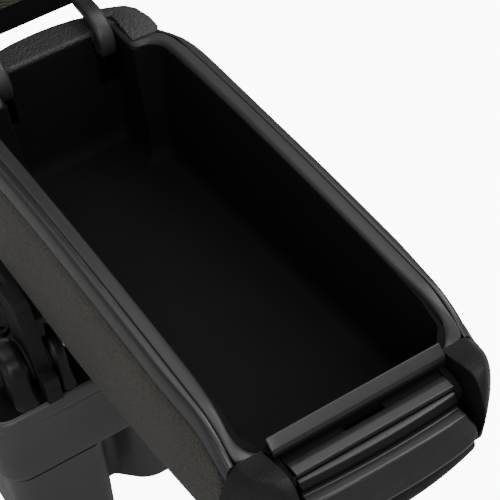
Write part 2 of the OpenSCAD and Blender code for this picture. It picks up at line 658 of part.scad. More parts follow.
// Release handle: bead, groove, ridge and apron in one piece, with a hook for the lid's catch
handle_y = -13.5;
handle_z = -23;
apron_half = cheek_in - 1.8;
function handle_bow(x) = lip_bow * (1 - pow(x / step_half, 2));
module release_handle() {
    n = 12;
    color(satin) at_box() difference() {
        union() {
            skin([for (i = [0:n]) let (u = lerp(-1, 1, i / n), x = step_half * u,
                    b = handle_bow(x), e = pow(abs(u), 8), w = apron_half * u)
                [[x, -15.0, -19.9], [x, -16.6, -19.7], [x - 0.3 * u * e, -18.6, -20.6],
                 [x - 0.6 * u * e, -20.1, -22.4], [x - 0.6 * u * e, -20.2, -24.2],
                 [x, -19.5, -25.4], [x, -20.0, -27.0], [x, -21.7, -28.0],
                 [x, -24.0, -28.4], [x, -25.4 - 0.1 * b, -29.8],
                 [w - u * e, -28.2 - 0.8 * b + 2 * e, -34.4],
                 [w - 1.6 * u * e, -29.9 - b + 2.4 * e, -37.2],
                 [w - 1.6 * u * e, -29.9 - b + 2.4 * e, -38.6],
                 [w - 1.6 * u * e, -28.6 - b + 2.4 * e, -39.2],
                 [w - u * e, -26.4 - 0.8 * b + 2 * e, -36.0], [x, -23.4, -30.8], [x, -21.6, -29.8],
                 [x, -19.2, -29.0], [x, -17.6, -28.2], [x, -16.6, -26.6], [x, -16.9, -25.0],
                 [x, -17.4, -23.6], [x, -17.0, -22.4], [x, -15.0, -21.4]]]);
            for (s = [-1, 1], x = [step_half - 6, 2]) scale_x(s) along_x(x, x + 5) {
                translate([handle_y, handle_z]) circle(r = 3.2);
                translate([handle_y - 4.2, handle_z - 1.8]) square([4.2, 3.6]);
            }
            along_x(-hook_half, hook_half)
                polygon([[-18.2, -28.0], [-18.0, -25.6], [-14.6, -26.4], [-9.4, hook_z + 1.6],
                         [hook_y, hook_z + 1.6], [hook_y, hook_z], [-12.5, hook_z],
                         [-16.6, -28.0]]);
        }
        rod_x(-step_half - 1, step_half + 1, handle_y, handle_z, handle_pin_r + run_gap);
        for (s = [-1, 1]) scale_x(s)
            rod_x(spring_x - 0.9, spring_x + 7.4, handle_y, handle_z, 3.2);
    }
}
hook_half = 5;
hook_y = -8.3;
hook_z = -30.6;
module handle_pin() {
    color(steel) at_box() rod_x(-step_half - 3.5, step_half + 3.5, handle_y, handle_z, handle_pin_r);
}

// Torsion springs on the handle pin
spring_wire = 0.5;
spring_turns = 5;
spring_x = 8;
module handle_springs() {
    sides = 5;
    per = 10;
    total = spring_turns * per;
    r = handle_pin_r + 0.9;
    color(steel) at_box() each_side() skin([for (i = [0:total])
        let (a = 360 * i / per, x = spring_x + 1.25 * spring_wire * 2 * i / per)
        [for (j = [0:sides - 1]) let (b = -360 * j / sides, q = r + spring_wire * cos(b))
            [x + spring_wire * sin(b), handle_y + q * cos(a), handle_z + q * sin(a)]]]);
}

module front_valance() {
    n = 10;
    color(grain) at_box() difference() {
        skin([for (i = [0:n]) let (x = lerp(-cheek_in, cheek_in, i / n),
                b = 5.5 * (1 - pow(x / cheek_in, 2)))
            [[x, -14, -45.6], [x, -20 - b, -45.4], [x, -23.4 - b, -47.4], [x, -24.2 - b, -50.8],
             [x, -22.8 - b, -54.4], [x, -19.4 - b, -56.2], [x, -14, -56.2]]]);
        for (k = [-3:3]) translate([k * 12 - 3, -34, -53.4]) cube([6, 11.5, 1.3]);
    }
}

// Lid, drawn closed and then turned about its hinge

lid_front_y = -14;
lid_half = rim_half + 0.6;
function lid_width(y) = let (
    s = clamp01((y - (lid_rear_y - 18)) / 18.2), f = clamp01((lid_front_y + 26 - y) / 26.4))
    1 - (1 - pow(1 - pow(s, 2.6), 1 / 2.6)) * 0.34 - (1 - pow(1 - pow(f, 2.6), 1 / 2.6)) * 0.3;
function lid_z(y) = lid_under;
lid_ys = [for (i = [16:-1:0])
    lerp(lid_front_y, lid_rear_y, (1 - cos(180 * i / 16)) / 2)];

// One hinge arm: a gooseneck round the front edge of the rear cover, and a strap on the lid
module arm_shape() {
    difference() {
        union() {
            difference() {
                circle(r = arm_r);
                circle(r = arm_in_r);
                polygon([[0, 0], [40, 0], [40, 60], [0, 60]]);
                polygon([[0, 0], [60, 0], [60, -60], [-60, -60], [-60, -6]]);
            }
            circle(r = hub_r);
            rotate(180) translate([0, -2.6]) square([arm_in_r + 2, 5.2]);
            translate([-2, arm_in_r + 0.4])
                square([lid_plane(arm_in_r) + 2, arm_r - arm_in_r - 0.9]);
        }
        circle(r = hinge_pin_r + run_gap);
    }
}
// Distance from the hinge pin to the open lid's inner face, at height h above the pin
function lid_plane(h) = (lid_under - hinge_z) / sin(lid_open) - h / tan(lid_open);
strap_t = 4;
strap_len = 46;
arm_screw_r = 1.8;
module hinge_arm() {
    y0 = lid_rear_y - 1;
    y1 = lid_rear_y - strap_len;
    color(satin) difference() {
        union() {
            at_box() along_x(arm_x, arm_x + arm_w) translate([hinge_y, hinge_z]) union() {
                intersection() {
                    arm_shape();
                    polygon([[-40, -40], [lid_plane(-40) - strap_t + 1, -40],
                             [lid_plane(40) - strap_t + 1, 40], [-40, 40]]);
                }
                rotate(-lid_open) translate([-hinge_y, -hinge_z])
                    polygon([[y0, lid_z(y0) - strap_t], [y0, lid_z(y0)], [y1, lid_z(y1)],
                             [y1, lid_z(y1) - 1.5], [y1 + 4, lid_z(y1) - strap_t]]);
            }
            at_lid() along_x(arm_screw_x - arm_head_r - 1.9, arm_screw_x - arm_head_r - 0.3)
                polygon([[y0 - 5, lid_z(y0) - 3], [y1 + 14, lid_z(y1) - 3],
                         [y0 - 5, lid_z(y0) - 13]]);
        }
        for (d = arm_screw_ds) at_lid() translate([arm_screw_x, lid_rear_y - d, -14])
            cylinder(h = 30, r = arm_screw_r + seat_gap);
    }
}
arm_screw_ds = [26, 38];
arm_screw_x = arm_x + arm_w / 2 + 1;
arm_head_r = 3.4;
module hinge_arm_left() { mirror([1, 0, 0]) hinge_arm(); }
module hinge_arm_right() { hinge_arm(); }

panel_t = 3;
buffer_ys = [40, 200];
buffer_x = opening_half + 3.4;
module lid_panel() {
    color(black) at_lid() difference() {
        skin([for (y = lid_ys) let (w = (lid_half - 2.2) * lid_width(y), z = lid_z(y))
            [[-w, y, z], [w, y, z], [w - 0.6, y, z + panel_t], [-w + 0.6, y, z + panel_t]]]);
        for (s = [-1, 1], d = arm_screw_ds)
            translate([s * arm_screw_x, lid_rear_y - d, -14])
                cylinder(h = 30, r = arm_screw_r + seat_gap);
        for (s = [-1, 1], y = buffer_ys)
            translate([s * buffer_x, y, lid_z(y) - 2]) cylinder(h = 3.8, r = 2.4 + seat_gap);
    }
}
lining_t = 0.8;
module lid_lining() {
    color(grain) at_lid() skin([for (i = [5:13]) let (y = lid_ys[i], z = lid_z(y))
        [[-40, y, z - lining_t], [40, y, z - lining_t], [40, y, z], [-40, y, z]]]);
}
module lid_pad() {
    color(grain) at_lid() skin([for (y = lid_ys) let (
        w = lid_half * lid_width(y), z = lid_z(y) + panel_t + 0.02,
        e = (y - lid_front_y) / (lid_rear_y - lid_front_y),
        h = (lid_thick - panel_t) * pow(max(0.12, 1 - pow(abs(2 * e - 1), 5)), 0.55))
        [[-w + 3, y, z], [w - 3, y, z], [w, y, z + h * 0.14], [w + 0.6, y, z + h * 0.42],
         [w - 1.4, y, z + h * 0.66], [w * 0.84, y, z + h * 0.86], [w * 0.5, y, z + h * 0.97],
         [0, y, z + h], [-w * 0.5, y, z + h * 0.97], [-w * 0.84, y, z + h * 0.86],
         [-w + 1.4, y, z + h * 0.66], [-w - 0.6, y, z + h * 0.42], [-w, y, z + h * 0.14]]]);
}
// Tongue at the front of the lid; its barb snaps below the hook of the release handle
catch_half = 8;
module lid_catch() {
    top = lid_z(-8);
    rear = ledge_front - 0.4;
    color(satin) at_lid() along_x(-catch_half, catch_half)
        polygon([[-12, top], [-12, top - 1.6], [rear - 1, top - 2.4],
                 [rear - 1, hook_z - 0.8], [hook_y - 0.7, hook_z - 1.2],
                 [hook_y - 0.7, hook_z - 1.8], [rear - 1, hook_z - 3], [rear, hook_z - 3],
                 [rear, top - 2.4], [-4.5, top - 1.6], [-4.5, top]]);
}
module arm_screws() {
    color(steel) at_lid() for (s = [-1, 1], d = arm_screw_ds)
        translate([s * arm_screw_x, lid_rear_y - d, lid_z(lid_rear_y - d) - strap_t])
            mirror([0, 0, 1]) screw(arm_screw_r, strap_t + panel_t, arm_head_r, 1.8);
}
module lid_buffers() {
    color(rubber) at_lid() for (s = [-1, 1], y = buffer_ys)
        translate([s * buffer_x, y, rim_z(y) + face_gap])
            cylinder(h = lid_z(y) + 1.7 - rim_z(y) - face_gap, r = 2.4);
}

console_plug();
cap_base();
cap_top();
plug_screws();
console_pads();
saddle_left();
saddle_right();
saddle_screws();
tilt_axle();
axle_caps();
tilt_washers();
tilt_stops();
tilt_bracket();
tilt_bushes();
bracket_screws();
outer_shell();
bottom_pan();
bin_liner();
rim_band();
rear_cover();
lid_hinge_pin();
nose_bulkhead();
ledge_bar();
step_panel();
front_valance();
cheek_left();
cheek_right();
handle_pin();
release_handle();
handle_springs();
hinge_arm_left();
hinge_arm_right();
lid_panel();
lid_lining();
lid_pad();
lid_catch();
arm_screws();
lid_buffers();
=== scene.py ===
"""Looks of the car centre armrest: a tilting storage bin with a hinged, padded lid on a saddle adapter.

Lengths in the shape functions are millimetres in the box frame, where y = 0 is the front end of the
rim and z = 0 its highest line; place() turns them into metres in the row frame.
"""

import json
import math

import bmesh
import bpy
import numpy as np
from mathutils import Matrix, Vector

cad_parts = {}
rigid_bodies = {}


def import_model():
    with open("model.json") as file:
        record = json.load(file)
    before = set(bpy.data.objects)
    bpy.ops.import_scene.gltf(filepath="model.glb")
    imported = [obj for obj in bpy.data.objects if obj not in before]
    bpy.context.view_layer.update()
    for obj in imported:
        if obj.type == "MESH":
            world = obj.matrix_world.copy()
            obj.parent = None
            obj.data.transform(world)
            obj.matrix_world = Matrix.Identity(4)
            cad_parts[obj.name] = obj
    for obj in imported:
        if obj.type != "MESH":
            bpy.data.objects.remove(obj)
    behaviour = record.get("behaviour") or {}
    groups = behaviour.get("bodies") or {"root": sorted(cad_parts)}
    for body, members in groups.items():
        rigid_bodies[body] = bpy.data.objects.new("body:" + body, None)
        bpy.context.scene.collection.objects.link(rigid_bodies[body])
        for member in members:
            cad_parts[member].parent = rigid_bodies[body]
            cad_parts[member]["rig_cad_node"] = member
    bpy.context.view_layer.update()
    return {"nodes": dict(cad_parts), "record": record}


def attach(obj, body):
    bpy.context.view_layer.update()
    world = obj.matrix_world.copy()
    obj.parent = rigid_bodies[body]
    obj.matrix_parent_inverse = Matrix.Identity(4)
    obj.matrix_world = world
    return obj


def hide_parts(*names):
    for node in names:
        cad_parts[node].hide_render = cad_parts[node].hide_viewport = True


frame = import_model()
NODES = frame["nodes"]

# Frames

BOX_AT = np.array([0.0, -221.0, 241.0])   # the box frame's origin in the row frame, mm
HINGE = np.array([272.6, -13.4])          # y, z of the lid's hinge pin in the box frame
LID_OPEN = math.radians(94.0)             # how far the lid is open at rest


def place(points):
    """Box frame millimetres to row frame metres."""
    return (np.asarray(points, float) + BOX_AT) / 1000.0


def place_lid(points):
    """Points of the closed lid, turned about the hinge axis to the open rest pose, then placed."""
    p = np.array(points, float)
    y, z = p[..., 1] - HINGE[0], p[..., 2] - HINGE[1]
    c, s = math.cos(LID_OPEN), math.sin(LID_OPEN)
    p[..., 1], p[..., 2] = HINGE[0] + y * c + z * s, HINGE[1] - y * s + z * c
    return place(p)


def plain(points):
    """Row frame millimetres to metres."""
    return np.asarray(points, float) / 1000.0


# Meshes

def linked(name, data):
    """A new object of the scene with some data: a mesh, light or camera."""
    obj = bpy.data.objects.new(name, data)
    bpy.context.scene.collection.objects.link(obj)
    return obj


def add_mesh(name, verts, faces):
    """A smooth mesh at the origin from points in metres and faces: doubles are merged and the normals
    recalculated outwards."""
    mesh = bpy.data.meshes.new(name)
    mesh.from_pydata(np.asarray(verts, float).tolist(), [], faces)
    work = bmesh.new()
    work.from_mesh(mesh)
    bmesh.ops.remove_doubles(work, verts=work.verts, dist=1e-6)
    bmesh.ops.recalc_face_normals(work, faces=work.faces)
    work.to_mesh(mesh)
    work.free()
    mesh.polygons.foreach_set("use_smooth", [True] * len(mesh.polygons))
    mesh.update()
    return linked(name, mesh)


def grid_faces(m, n, wrap=False):
    """Quads over m closed rings of n points, the last ring joined to the first where wrap is set."""
    i, j = (a.ravel() for a in np.meshgrid(np.arange(m if wrap else m - 1), np.arange(n), indexing="ij"))
    i2, j2 = (i + 1) % m, (j + 1) % n
    return np.stack([i * n + j, i2 * n + j, i2 * n + j2, i * n + j2], 1).tolist()


def cap_faces(ring, start):
    """An end face that joins the points of a closed ring in pairs, as a strip of quads."""
    k = np.arange((ring - 1) // 2)
    quads = np.stack([k, k + 1, ring - 2 - k, ring - 1 - k], 1) + start
    return [list(dict.fromkeys(q.tolist())) for q in quads]


def loft(name, rings, wrap=False, sharp=32.0):
    """A solid through m closed rings of n points, an m by n by 3 array in metres, closed at both ends
    or, where wrap is set, joined into a loop. Edges that turn by more than sharp degrees stay crisp."""
    m, n = rings.shape[:2]
    faces = grid_faces(m, n, wrap)
    if not wrap:
        faces += cap_faces(n, 0) + cap_faces(n, (m - 1) * n)
    obj = add_mesh(name, rings.reshape(-1, 3), faces)
    crease(obj, sharp)
    return obj


def capped(name, rings):
    """A closed mesh through m closed rings of n points, with one face over each end ring."""
    m, n = rings.shape[:2]
    return add_mesh(name, rings.reshape(-1, 3),
                    grid_faces(m, n) + [list(range(n)), list(range((m - 1) * n, m * n))])


def crease(obj, degrees):
    """Marks the edges that turn by more than the angle as sharp, for shading."""
    obj.data.set_sharp_from_angle(angle=math.radians(degrees))


def carried(ring, axis, values):
    """A flat closed ring repeated at several values of one axis: 0 for x, 1 for y, 2 for z."""
    return np.stack([np.insert(ring, axis, v, axis=1) for v in values])


def evaluated_mesh(obj):
    """A new mesh with the object's modifiers applied."""
    return bpy.data.meshes.new_from_object(obj.evaluated_get(bpy.context.evaluated_depsgraph_get()))


def mesh_values(items, name):
    """A vector of every point or face of a mesh, such as its place or normal, as rows of an array."""
    rows = np.empty(len(items) * 3)
    items.foreach_get(name, rows)
    return rows.reshape(-1, 3)


def curve(at, xs, ys):
    """Smooth curve through the points (xs, ys): cubic Hermite pieces with central slopes."""
    xs, ys = np.asarray(xs, float), np.asarray(ys, float)
    slope = np.gradient(ys, xs, axis=0)
    at = np.clip(np.asarray(at, float), xs[0], xs[-1])
    k = np.clip(np.searchsorted(xs, at, side="right") - 1, 0, len(xs) - 2)
    h = xs[k + 1] - xs[k]
    t = (at - xs[k]) / h
    a, b = (1 + 2 * t) * (1 - t) ** 2, t * t * (3 - 2 * t)
    c, d = t * (1 - t) ** 2, -t * t * (1 - t)
    if ys.ndim > 1:
        a, b, c, d, h = (v[..., None] for v in (a, b, c, d, h))
    return a * ys[k] + b * ys[k + 1] + h * (c * slope[k] + d * slope[k + 1])


def smoothstep(t):
    """A soft step from 0 at t = 0 to 1 at t = 1: t^2 (3 - 2t)."""
    t = np.clip(t, 0.0, 1.0)
    return t * t * (3 - 2 * t)


def round_profile(points, radii, steps=5):
    """A closed 2D outline with corner i rounded to radii[i] by an arc of some steps."""
    pts = np.asarray(points, float)
    out = []
    for k in range(len(pts)):
        q, a, b = pts[k], pts[k - 1], pts[(k + 1) % len(pts)]
        u, v = (a - q) / np.linalg.norm(a - q), (b - q) / np.linalg.norm(b - q)
        half = math.acos(max(-1.0, min(1.0, float(u @ v)))) / 2
        r = radii[k]
        if r <= 0 or abs(half - math.pi / 2) < 1e-3:
            out.append(np.repeat(q[None], steps + 1, 0))
            continue
        reach = min(r / math.tan(half), 0.49 * np.linalg.norm(a - q), 0.49 * np.linalg.norm(b - q))
        r = reach * math.tan(half)
        mid = q + (u + v) / np.linalg.norm(u + v) * r / math.sin(half)
        s, e = (q + u * reach - mid) / r, (q + v * reach - mid) / r
        t = np.linspace(0, 1, steps + 1)[:, None]
        w = s * (1 - t) + e * t
        out.append(mid + w / np.linalg.norm(w, axis=1, keepdims=True) * r)
    return np.concatenate(out)


def rounded_box(x0, x1, y0, y1, radii, steps):
    """A rectangle as a 2D outline, its corners rounded by one radius or by four."""
    return round_profile([(x0, y0), (x1, y0), (x1, y1), (x0, y1)], np.broadcast_to(radii, 4), steps)


# Lines of the box

SIDES = ((1, "right"), (-1, "left"))

RIM_HALF, BOX_LEN = 57.0, 283.4           # half width and length of the rim's plan
CORNER_LEN, CORNER_N = 53.4, 3.2          # length and exponent of its rear corners
CORNER_Y = BOX_LEN - CORNER_LEN
SHELL_DEPTH, BELLY = 83.0, 11.0           # depth of the shell and how far its side swells
BIN_DEPTH, BIN_HALF, BIN_END = 72.0, 47.8, 238.0
BAY_HALF, BAY_END = 34.2, 262.0           # the narrower part of the bin that the lid's arms turn in
NOSE_HALF = 42.3                          # inner walls of the cheeks
HANDLE_HALF = 37.2
HANDLE_PIN = (-13.5, -23.0)               # y, z


def rim_z(y):
    """Height of the rim: a long shallow arch that dips over its front end."""
    y = np.asarray(y, float)
    return -3.6 * ((y - BOX_LEN * 0.424) / (BOX_LEN * 0.424)) ** 2 - 11.0 * (np.maximum(0, 26 - y) / 26) ** 2


def under_z(y):
    """Height of the underside: flat at the rear, rising towards the front."""
    d = np.maximum(0, BOX_LEN / 2 - np.asarray(y, float))
    return -SHELL_DEPTH + 0.2 * d * d / (d + 25)


def rim_shift(y):
    """How far the outer band stands out of the plan line: up to 2.2 mm towards the rear, and drawn
    in before the corner cap."""
    return curve(y, [-1, 8, 15, 23, 31, 48, 66, 104, 145, 177, 200, 212, 224, 231, 237, 241, 250],
                 [0, 0.3, 0.2, 0.2, 0.5, 1.2, 1.3, 1.4, 1.4, 1.7, 2.1, 2.2, 1.4, 0.0, -2.2, -4.0, -6.5])


def rim_plan(side=90, corner=48):
    """Plan of the rim, front right to front left, and its outward normals: straight sides and
    superelliptic rear corners |x/57|^3.2 + |v/53.4|^3.2 = 1."""
    y = CORNER_Y * np.linspace(0, 1, side) ** 1.1
    straight = np.stack([np.full(side, RIM_HALF), y, np.ones(side), np.zeros(side)], 1)
    a = np.linspace(0, math.pi / 2, corner + 1)[1:]
    c = np.clip(np.cos(a), 0, 1) ** (2 / CORNER_N)
    s = np.sin(a) ** (2 / CORNER_N)
    g = np.stack([c ** (CORNER_N - 1) / RIM_HALF, s ** (CORNER_N - 1) / CORNER_LEN], 1)
    g /= np.linalg.norm(g, axis=1, keepdims=True)
    turn = np.stack([RIM_HALF * c, CORNER_Y + CORNER_LEN * s, g[:, 0], g[:, 1]], 1)
    right = np.concatenate([straight, turn])
    left = right[-2::-1] * np.array([-1, 1, -1, 1])
    return np.concatenate([right, left])


def swell(plan, t):
    """How far the side stands out of the rim line at depth share t: 2.3 at the top, 3.7 at the
    foot, fullest in between, less towards the front and round the rear."""
    full = BELLY - 2.2 * np.clip((60 - plan[:, 1]) / 60, 0, 1) - 2.5 * np.clip(plan[:, 3], 0, 1)
    base = 2.3 + 1.4 * t
    return base + (full[:, None] - base) * np.maximum(0, np.sin(math.pi * t ** 0.92)) ** 0.8


def out_points(plan, d, z):
    """Points d outside the plan line at height z."""
    d, z = np.broadcast_arrays(d, z)
    return np.stack([plan[:, 0, None] + plan[:, 2, None] * d,
                     plan[:, 1, None] + plan[:, 3, None] * d, z], -1)


# Materials

def group(name, inputs, outputs):
    """A shader node group with sockets of the given kinds, the outputs of its input node, and its
    output node."""
    tree = bpy.data.node_groups.new(name, "ShaderNodeTree")
    for in_out, sockets in (("INPUT", inputs), ("OUTPUT", outputs)):
        for label, kind in sockets.items():
            tree.interface.new_socket(label, in_out=in_out, socket_type="NodeSocket" + kind)
    return tree, tree.nodes.new("NodeGroupInput").outputs, tree.nodes.new("NodeGroupOutput")


def feed(tree, n, inputs):
    """Gives a node its inputs, as values or as sockets to link."""
    for key, value in inputs.items():
        if isinstance(value, bpy.types.NodeSocket):
            tree.links.new(value, n.inputs[key])
        else:
            n.inputs[key].default_value = value


def node(tree, kind, inputs=None, **settings):
    """One shader node of a kind such as TexNoise, with its settings and inputs."""
    n = tree.nodes.new("ShaderNode" + kind)
    for key, value in settings.items():
        setattr(n, key, value)
    feed(tree, n, inputs or {})
    return n


def worked(tree, kind, operation, *values):
    """The result of an operation on values or sockets, by a Math or VectorMath node."""
    return node(tree, kind, dict(enumerate(values)), operation=operation).outputs[0]


def noise(tree, vector, scale, detail):
    """A noise texture."""
    return node(tree, "TexNoise", {"Vector": vector, "Scale": scale, "Detail": detail}).outputs


def ranged(tree, value, low, high, to_low, to_high):
    """A value carried from the range low to high to another range."""
    return node(tree, "MapRange", {"Value": value, "From Min": low, "From Max": high,
                                   "To Min": to_low, "To Max": to_high}).outputs[0]


def colour(value):
    """A colour as four numbers, from one grey or from three numbers."""
    return (*np.broadcast_to(value, 3).tolist(), 1.0)


def grain_group():
    """Moulded leather grain: small soft cells, bent by a slower noise, with finer pits."""
    tree, given, end = group("moulded_grain", {"Vector": "Vector", "Cells per metre": "Float",
                                               "Pit share": "Float"}, {"Height": "Float"})
    warp = noise(tree, given["Vector"], 420.0, 2.0)["Color"]
    pull = worked(tree, "VectorMath", "MULTIPLY", warp, (0.0011, 0.0011, 0.0011))
    bent = worked(tree, "VectorMath", "ADD", given["Vector"], pull)
    cells = node(tree, "TexVoronoi", {"Vector": bent, "Scale": given["Cells per metre"], "Smoothness": 0.55},
                 feature="SMOOTH_F1")
    fine = noise(tree, given["Vector"], 3400.0, 2.0)["Fac"]
    pits = worked(tree, "Math", "MULTIPLY", fine, given["Pit share"])
    dome = worked(tree, "Math", "SUBTRACT", 1.0, cells.outputs["Distance"])
    feed(tree, end, {"Height": worked(tree, "Math", "ADD", dome, pits)})
    return tree


def wear_group():
    """Slow change of colour and gloss over a plain moulding, and lighter worn edges."""
    tree, given, end = group("handling_wear",
                             {"Vector": "Vector", "Base": "Color", "Edge": "Color", "Roughness": "Float"},
                             {"Color": "Color", "Roughness": "Float"})
    edge = ranged(tree, node(tree, "NewGeometry").outputs["Pointiness"], 0.515, 0.60, 0.0, 0.45)
    slow = noise(tree, given["Vector"], 24.0, 4.0)["Fac"]
    fine = noise(tree, given["Vector"], 260.0, 3.0)["Fac"]
    toned = worked(tree, "VectorMath", "MULTIPLY", given["Base"], ranged(tree, slow, 0.3, 0.7, 0.90, 1.10))
    mixed = node(tree, "Mix", {"Factor": edge}, data_type="RGBA")
    feed(tree, mixed, {"A": toned, "B": given["Edge"]})
    rough = worked(tree, "Math", "ADD", given["Roughness"], ranged(tree, fine, 0.25, 0.75, -0.05, 0.05))
    feed(tree, end, {"Color": mixed.outputs["Result"], "Roughness": rough})
    return tree


GRAIN, WEAR = grain_group(), wear_group()


def material(name, base, edge, rough, specular, grain, cells, pits, depth, sheen=0.0, metallic=0.0):
    """A finish: a base colour and roughness that wear changes, and where grain is set a moulded grain of
    that strength, with so many cells per metre, share of pits and depth in metres."""
    mat = bpy.data.materials.new(name)
    mat.use_nodes = True
    tree = mat.node_tree
    shader = tree.nodes["Principled BSDF"]
    vector = node(tree, "TexCoord").outputs["Object"]
    wear = node(tree, "Group", node_tree=WEAR)
    feed(tree, wear, {"Vector": vector, "Base": colour(base), "Edge": colour(edge), "Roughness": rough})
    feed(tree, shader, {"Base Color": wear.outputs["Color"], "Roughness": wear.outputs["Roughness"],
                        "Metallic": metallic, "Specular IOR Level": specular, "Sheen Weight": sheen})
    if grain:
        leather = node(tree, "Group", node_tree=GRAIN)
        feed(tree, leather, {"Vector": vector, "Cells per metre": cells, "Pit share": pits})
        bump = node(tree, "Bump", {"Height": leather.outputs["Height"], "Strength": grain, "Distance": depth})
        feed(tree, shader, {"Normal": bump.outputs["Normal"]})
    return mat


# base and edge colour, roughness, specular, grain, its cells per metre, pit share and depth, sheen, metallic
FINISH = {row[0]: material(*row) for row in (
    ("satin_black", (0.0285, 0.0285, 0.0288), 0.044, 0.40, 0.42, 0.2, 2600.0, 0.6, 0.0001),
    ("smooth_black", (0.0075, 0.0073, 0.0076), 0.024, 0.37, 0.42, 0.10, 3200.0, 0.6, 0.00008),
    # painted shade: near black for the hollow groove under the handle's bead, where the bead's overhang
    # shades it
    ("groove_painted_shade", (0.0035, 0.0035, 0.0036), 0.012, 0.5, 0.15, 0.2, 2600.0, 0.3, 0.0001),
    ("rim_black", (0.0165, 0.0158, 0.0163), (0.032, 0.031, 0.031), 0.42, 0.3, 0.12, 3200.0, 0.6, 0.00008),
    ("grained_black", (0.0560, 0.0528, 0.0430), (0.072, 0.068, 0.057), 0.60, 0.3, 1.0, 900.0, 0.4, 0.0030),
    ("coarse_black", (0.021, 0.021, 0.0212), 0.04, 0.52, 0.3, 1.0, 720.0, 0.25, 0.0006),
    ("cheek_black", (0.0062, 0.0060, 0.0057), (0.016, 0.0155, 0.015), 0.5, 0.16, 0.5, 1300.0, 0.4, 0.0004),
    # the bin's own black plastic, made darker still as painted shade for the unlit inside of the bin; second
    # finishes elsewhere use it as painted shade too
    ("bin_black", 0.0043, 0.005, 0.8, 0.06, 0.2, 2400.0, 0.6, 0.0001),
    ("hidden_black", 0.003, 0.012, 0.6, 0.15, 0, 0, 0, 0),
    ("pad_leather", (0.022, 0.021, 0.020), (0.05, 0.048, 0.046), 0.50, 0.3, 0.8, 800.0, 0.3, 0.0004, 0.05),
    ("saddle_black", 0.004, 0.012, 0.36, 0.2, 0.1, 3000.0, 0.5, 0.0001),
    ("steel", (0.42, 0.42, 0.43), (0.65, 0.65, 0.66), 0.32, 0.5, 0, 0, 0, 0, 0.0, 1.0),
    ("rubber_black", 0.008, 0.02, 0.7, 0.2, 0, 0, 0, 0),
)}


def dress(obj, slot):
    """Gives a piece the finish of the given slot."""
    obj.data.materials.clear()
    obj.data.materials.append(FINISH[slot])
    return obj


def second_finish(obj, slot, chosen):
    """Gives the faces picked by chosen(centres, normals), in box frame millimetres, another finish."""
    mesh = obj.data
    mesh.materials.append(FINISH[slot])
    centres = mesh_values(mesh.polygons, "center") * 1000.0 - BOX_AT
    picked = chosen(centres, mesh_values(mesh.polygons, "normal"))
    mesh.polygons.foreach_set("material_index", picked.astype(np.int32))
    mesh.update()


def stand_for(obj, body, slot, *nodes):
    """A finished piece rides on its body and stands for the CAD nodes it replaces."""
    dress(obj, slot)
    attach(obj, body)
    if nodes:
        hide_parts(*nodes)


for entry in frame["record"]["subparts"]:
    dress(NODES[entry["node"]], entry["material_slot"])

# Outer shell


def shell_rings(plan, seam=10.2, wall=2.4, outs=34, ins=12):
    """Closed sections of the grained shell along the plan: from the seam below the rim down the
    swelling outside, and up the inside one wall thickness in."""
    z0, z1 = rim_z(plan[:, 1])[:, None] - seam, under_z(plan[:, 1])[:, None]
    t = np.linspace(0, 1, outs)[None]
    lift = np.maximum(rim_shift(plan[:, 1]), 0)[:, None] * (plan[:, 1, None] < 240)
    outer = out_points(plan, swell(plan, t) + lift * (1 - t) ** 2 - 0.9 * np.maximum(0, 1 - t / 0.02) ** 2,
                       z0 + (z1 - z0) * t)
    t = np.linspace(1, 0.004, ins)[None]
    inner = out_points(plan, swell(plan, t) + lift * (1 - t) ** 2 - wall, z0 + (z1 - z0) * t)
    return np.concatenate([outer, inner], 1)


shell = loft("outer_shell_skin", place(shell_rings(rim_plan())))
stand_for(shell, "box", "grained_black", "outer_shell")
# Painted shade: the shell's inward faces and the rear faces that look forward get the near-black bin finish,
# for the shade inside the box
second_finish(shell, "bin_black", lambda c, n: (n[:, 0] * c[:, 0] < 0) | ((c[:, 1] > 240) & (n[:, 1] < 0)))

# Helpers for the front and rear mouldings


def inset(ring, d):
    """A closed 2D ring moved inwards by d along its corner normals."""
    fore, back = np.roll(ring, -1, 0) - ring, ring - np.roll(ring, 1, 0)
    fore = fore / np.maximum(np.linalg.norm(fore, axis=1, keepdims=True), 1e-9)
    back = back / np.maximum(np.linalg.norm(back, axis=1, keepdims=True), 1e-9)
    along = fore + back
    along = along / np.maximum(np.linalg.norm(along, axis=1, keepdims=True), 1e-9)
    side = np.stack([-along[:, 1], along[:, 0]], 1)
    area = 0.5 * np.sum(ring[:, 0] * np.roll(ring[:, 1], -1) - np.roll(ring[:, 0], -1) * ring[:, 1])
    return ring + side * d * (1.0 if area > 0 else -1.0)


def end_rounding(half, r, middle, steps=4):
    """Positions from -half to +half, dense over a quarter circle of radius r at both ends, and
    how far the section is drawn in there: r - sqrt(r^2 - (|x| - half + r)^2)."""
    a = np.linspace(0, math.pi / 2, steps + 1)
    ends = half - r + r * np.sin(a)
    draw = r - r * np.cos(a)
    inner = np.linspace(-(half - r), half - r, middle)[1:-1]
    x = np.concatenate([-ends[::-1], inner, ends])
    d = np.concatenate([draw[::-1], np.zeros(len(inner)), draw])
    return x, d


def cross_bar(name, section, half, r=0.5, middle=25):
    """A bar across the box: its closed y, z outline, or section(u) that gives it at u = x / half, is
    carried from side to side and drawn in over a small radius at both ends."""
    rings = [np.insert(inset(section(x / half) if callable(section) else section, 0.6 * d), 0, x, axis=1)
             for x, d in zip(*end_rounding(half, r, middle))]
    return loft(name, place(rings), sharp=38.0)


def join(name, *parts):
    """Several closed meshes as one object of a new name."""
    work = bmesh.new()
    for part in parts:
        work.from_mesh(part.data)
    mesh = bpy.data.meshes.new(name)
    work.to_mesh(mesh)
    work.free()
    for part in parts:
        old = part.data
        bpy.data.objects.remove(part)
        bpy.data.meshes.remove(old)
    return linked(name, mesh)


def mirrored(points):
    """The same points on the other side of the middle plane."""
    return np.asarray(points, float) * np.array([-1.0, 1.0, 1.0])


# Outer band of the rim


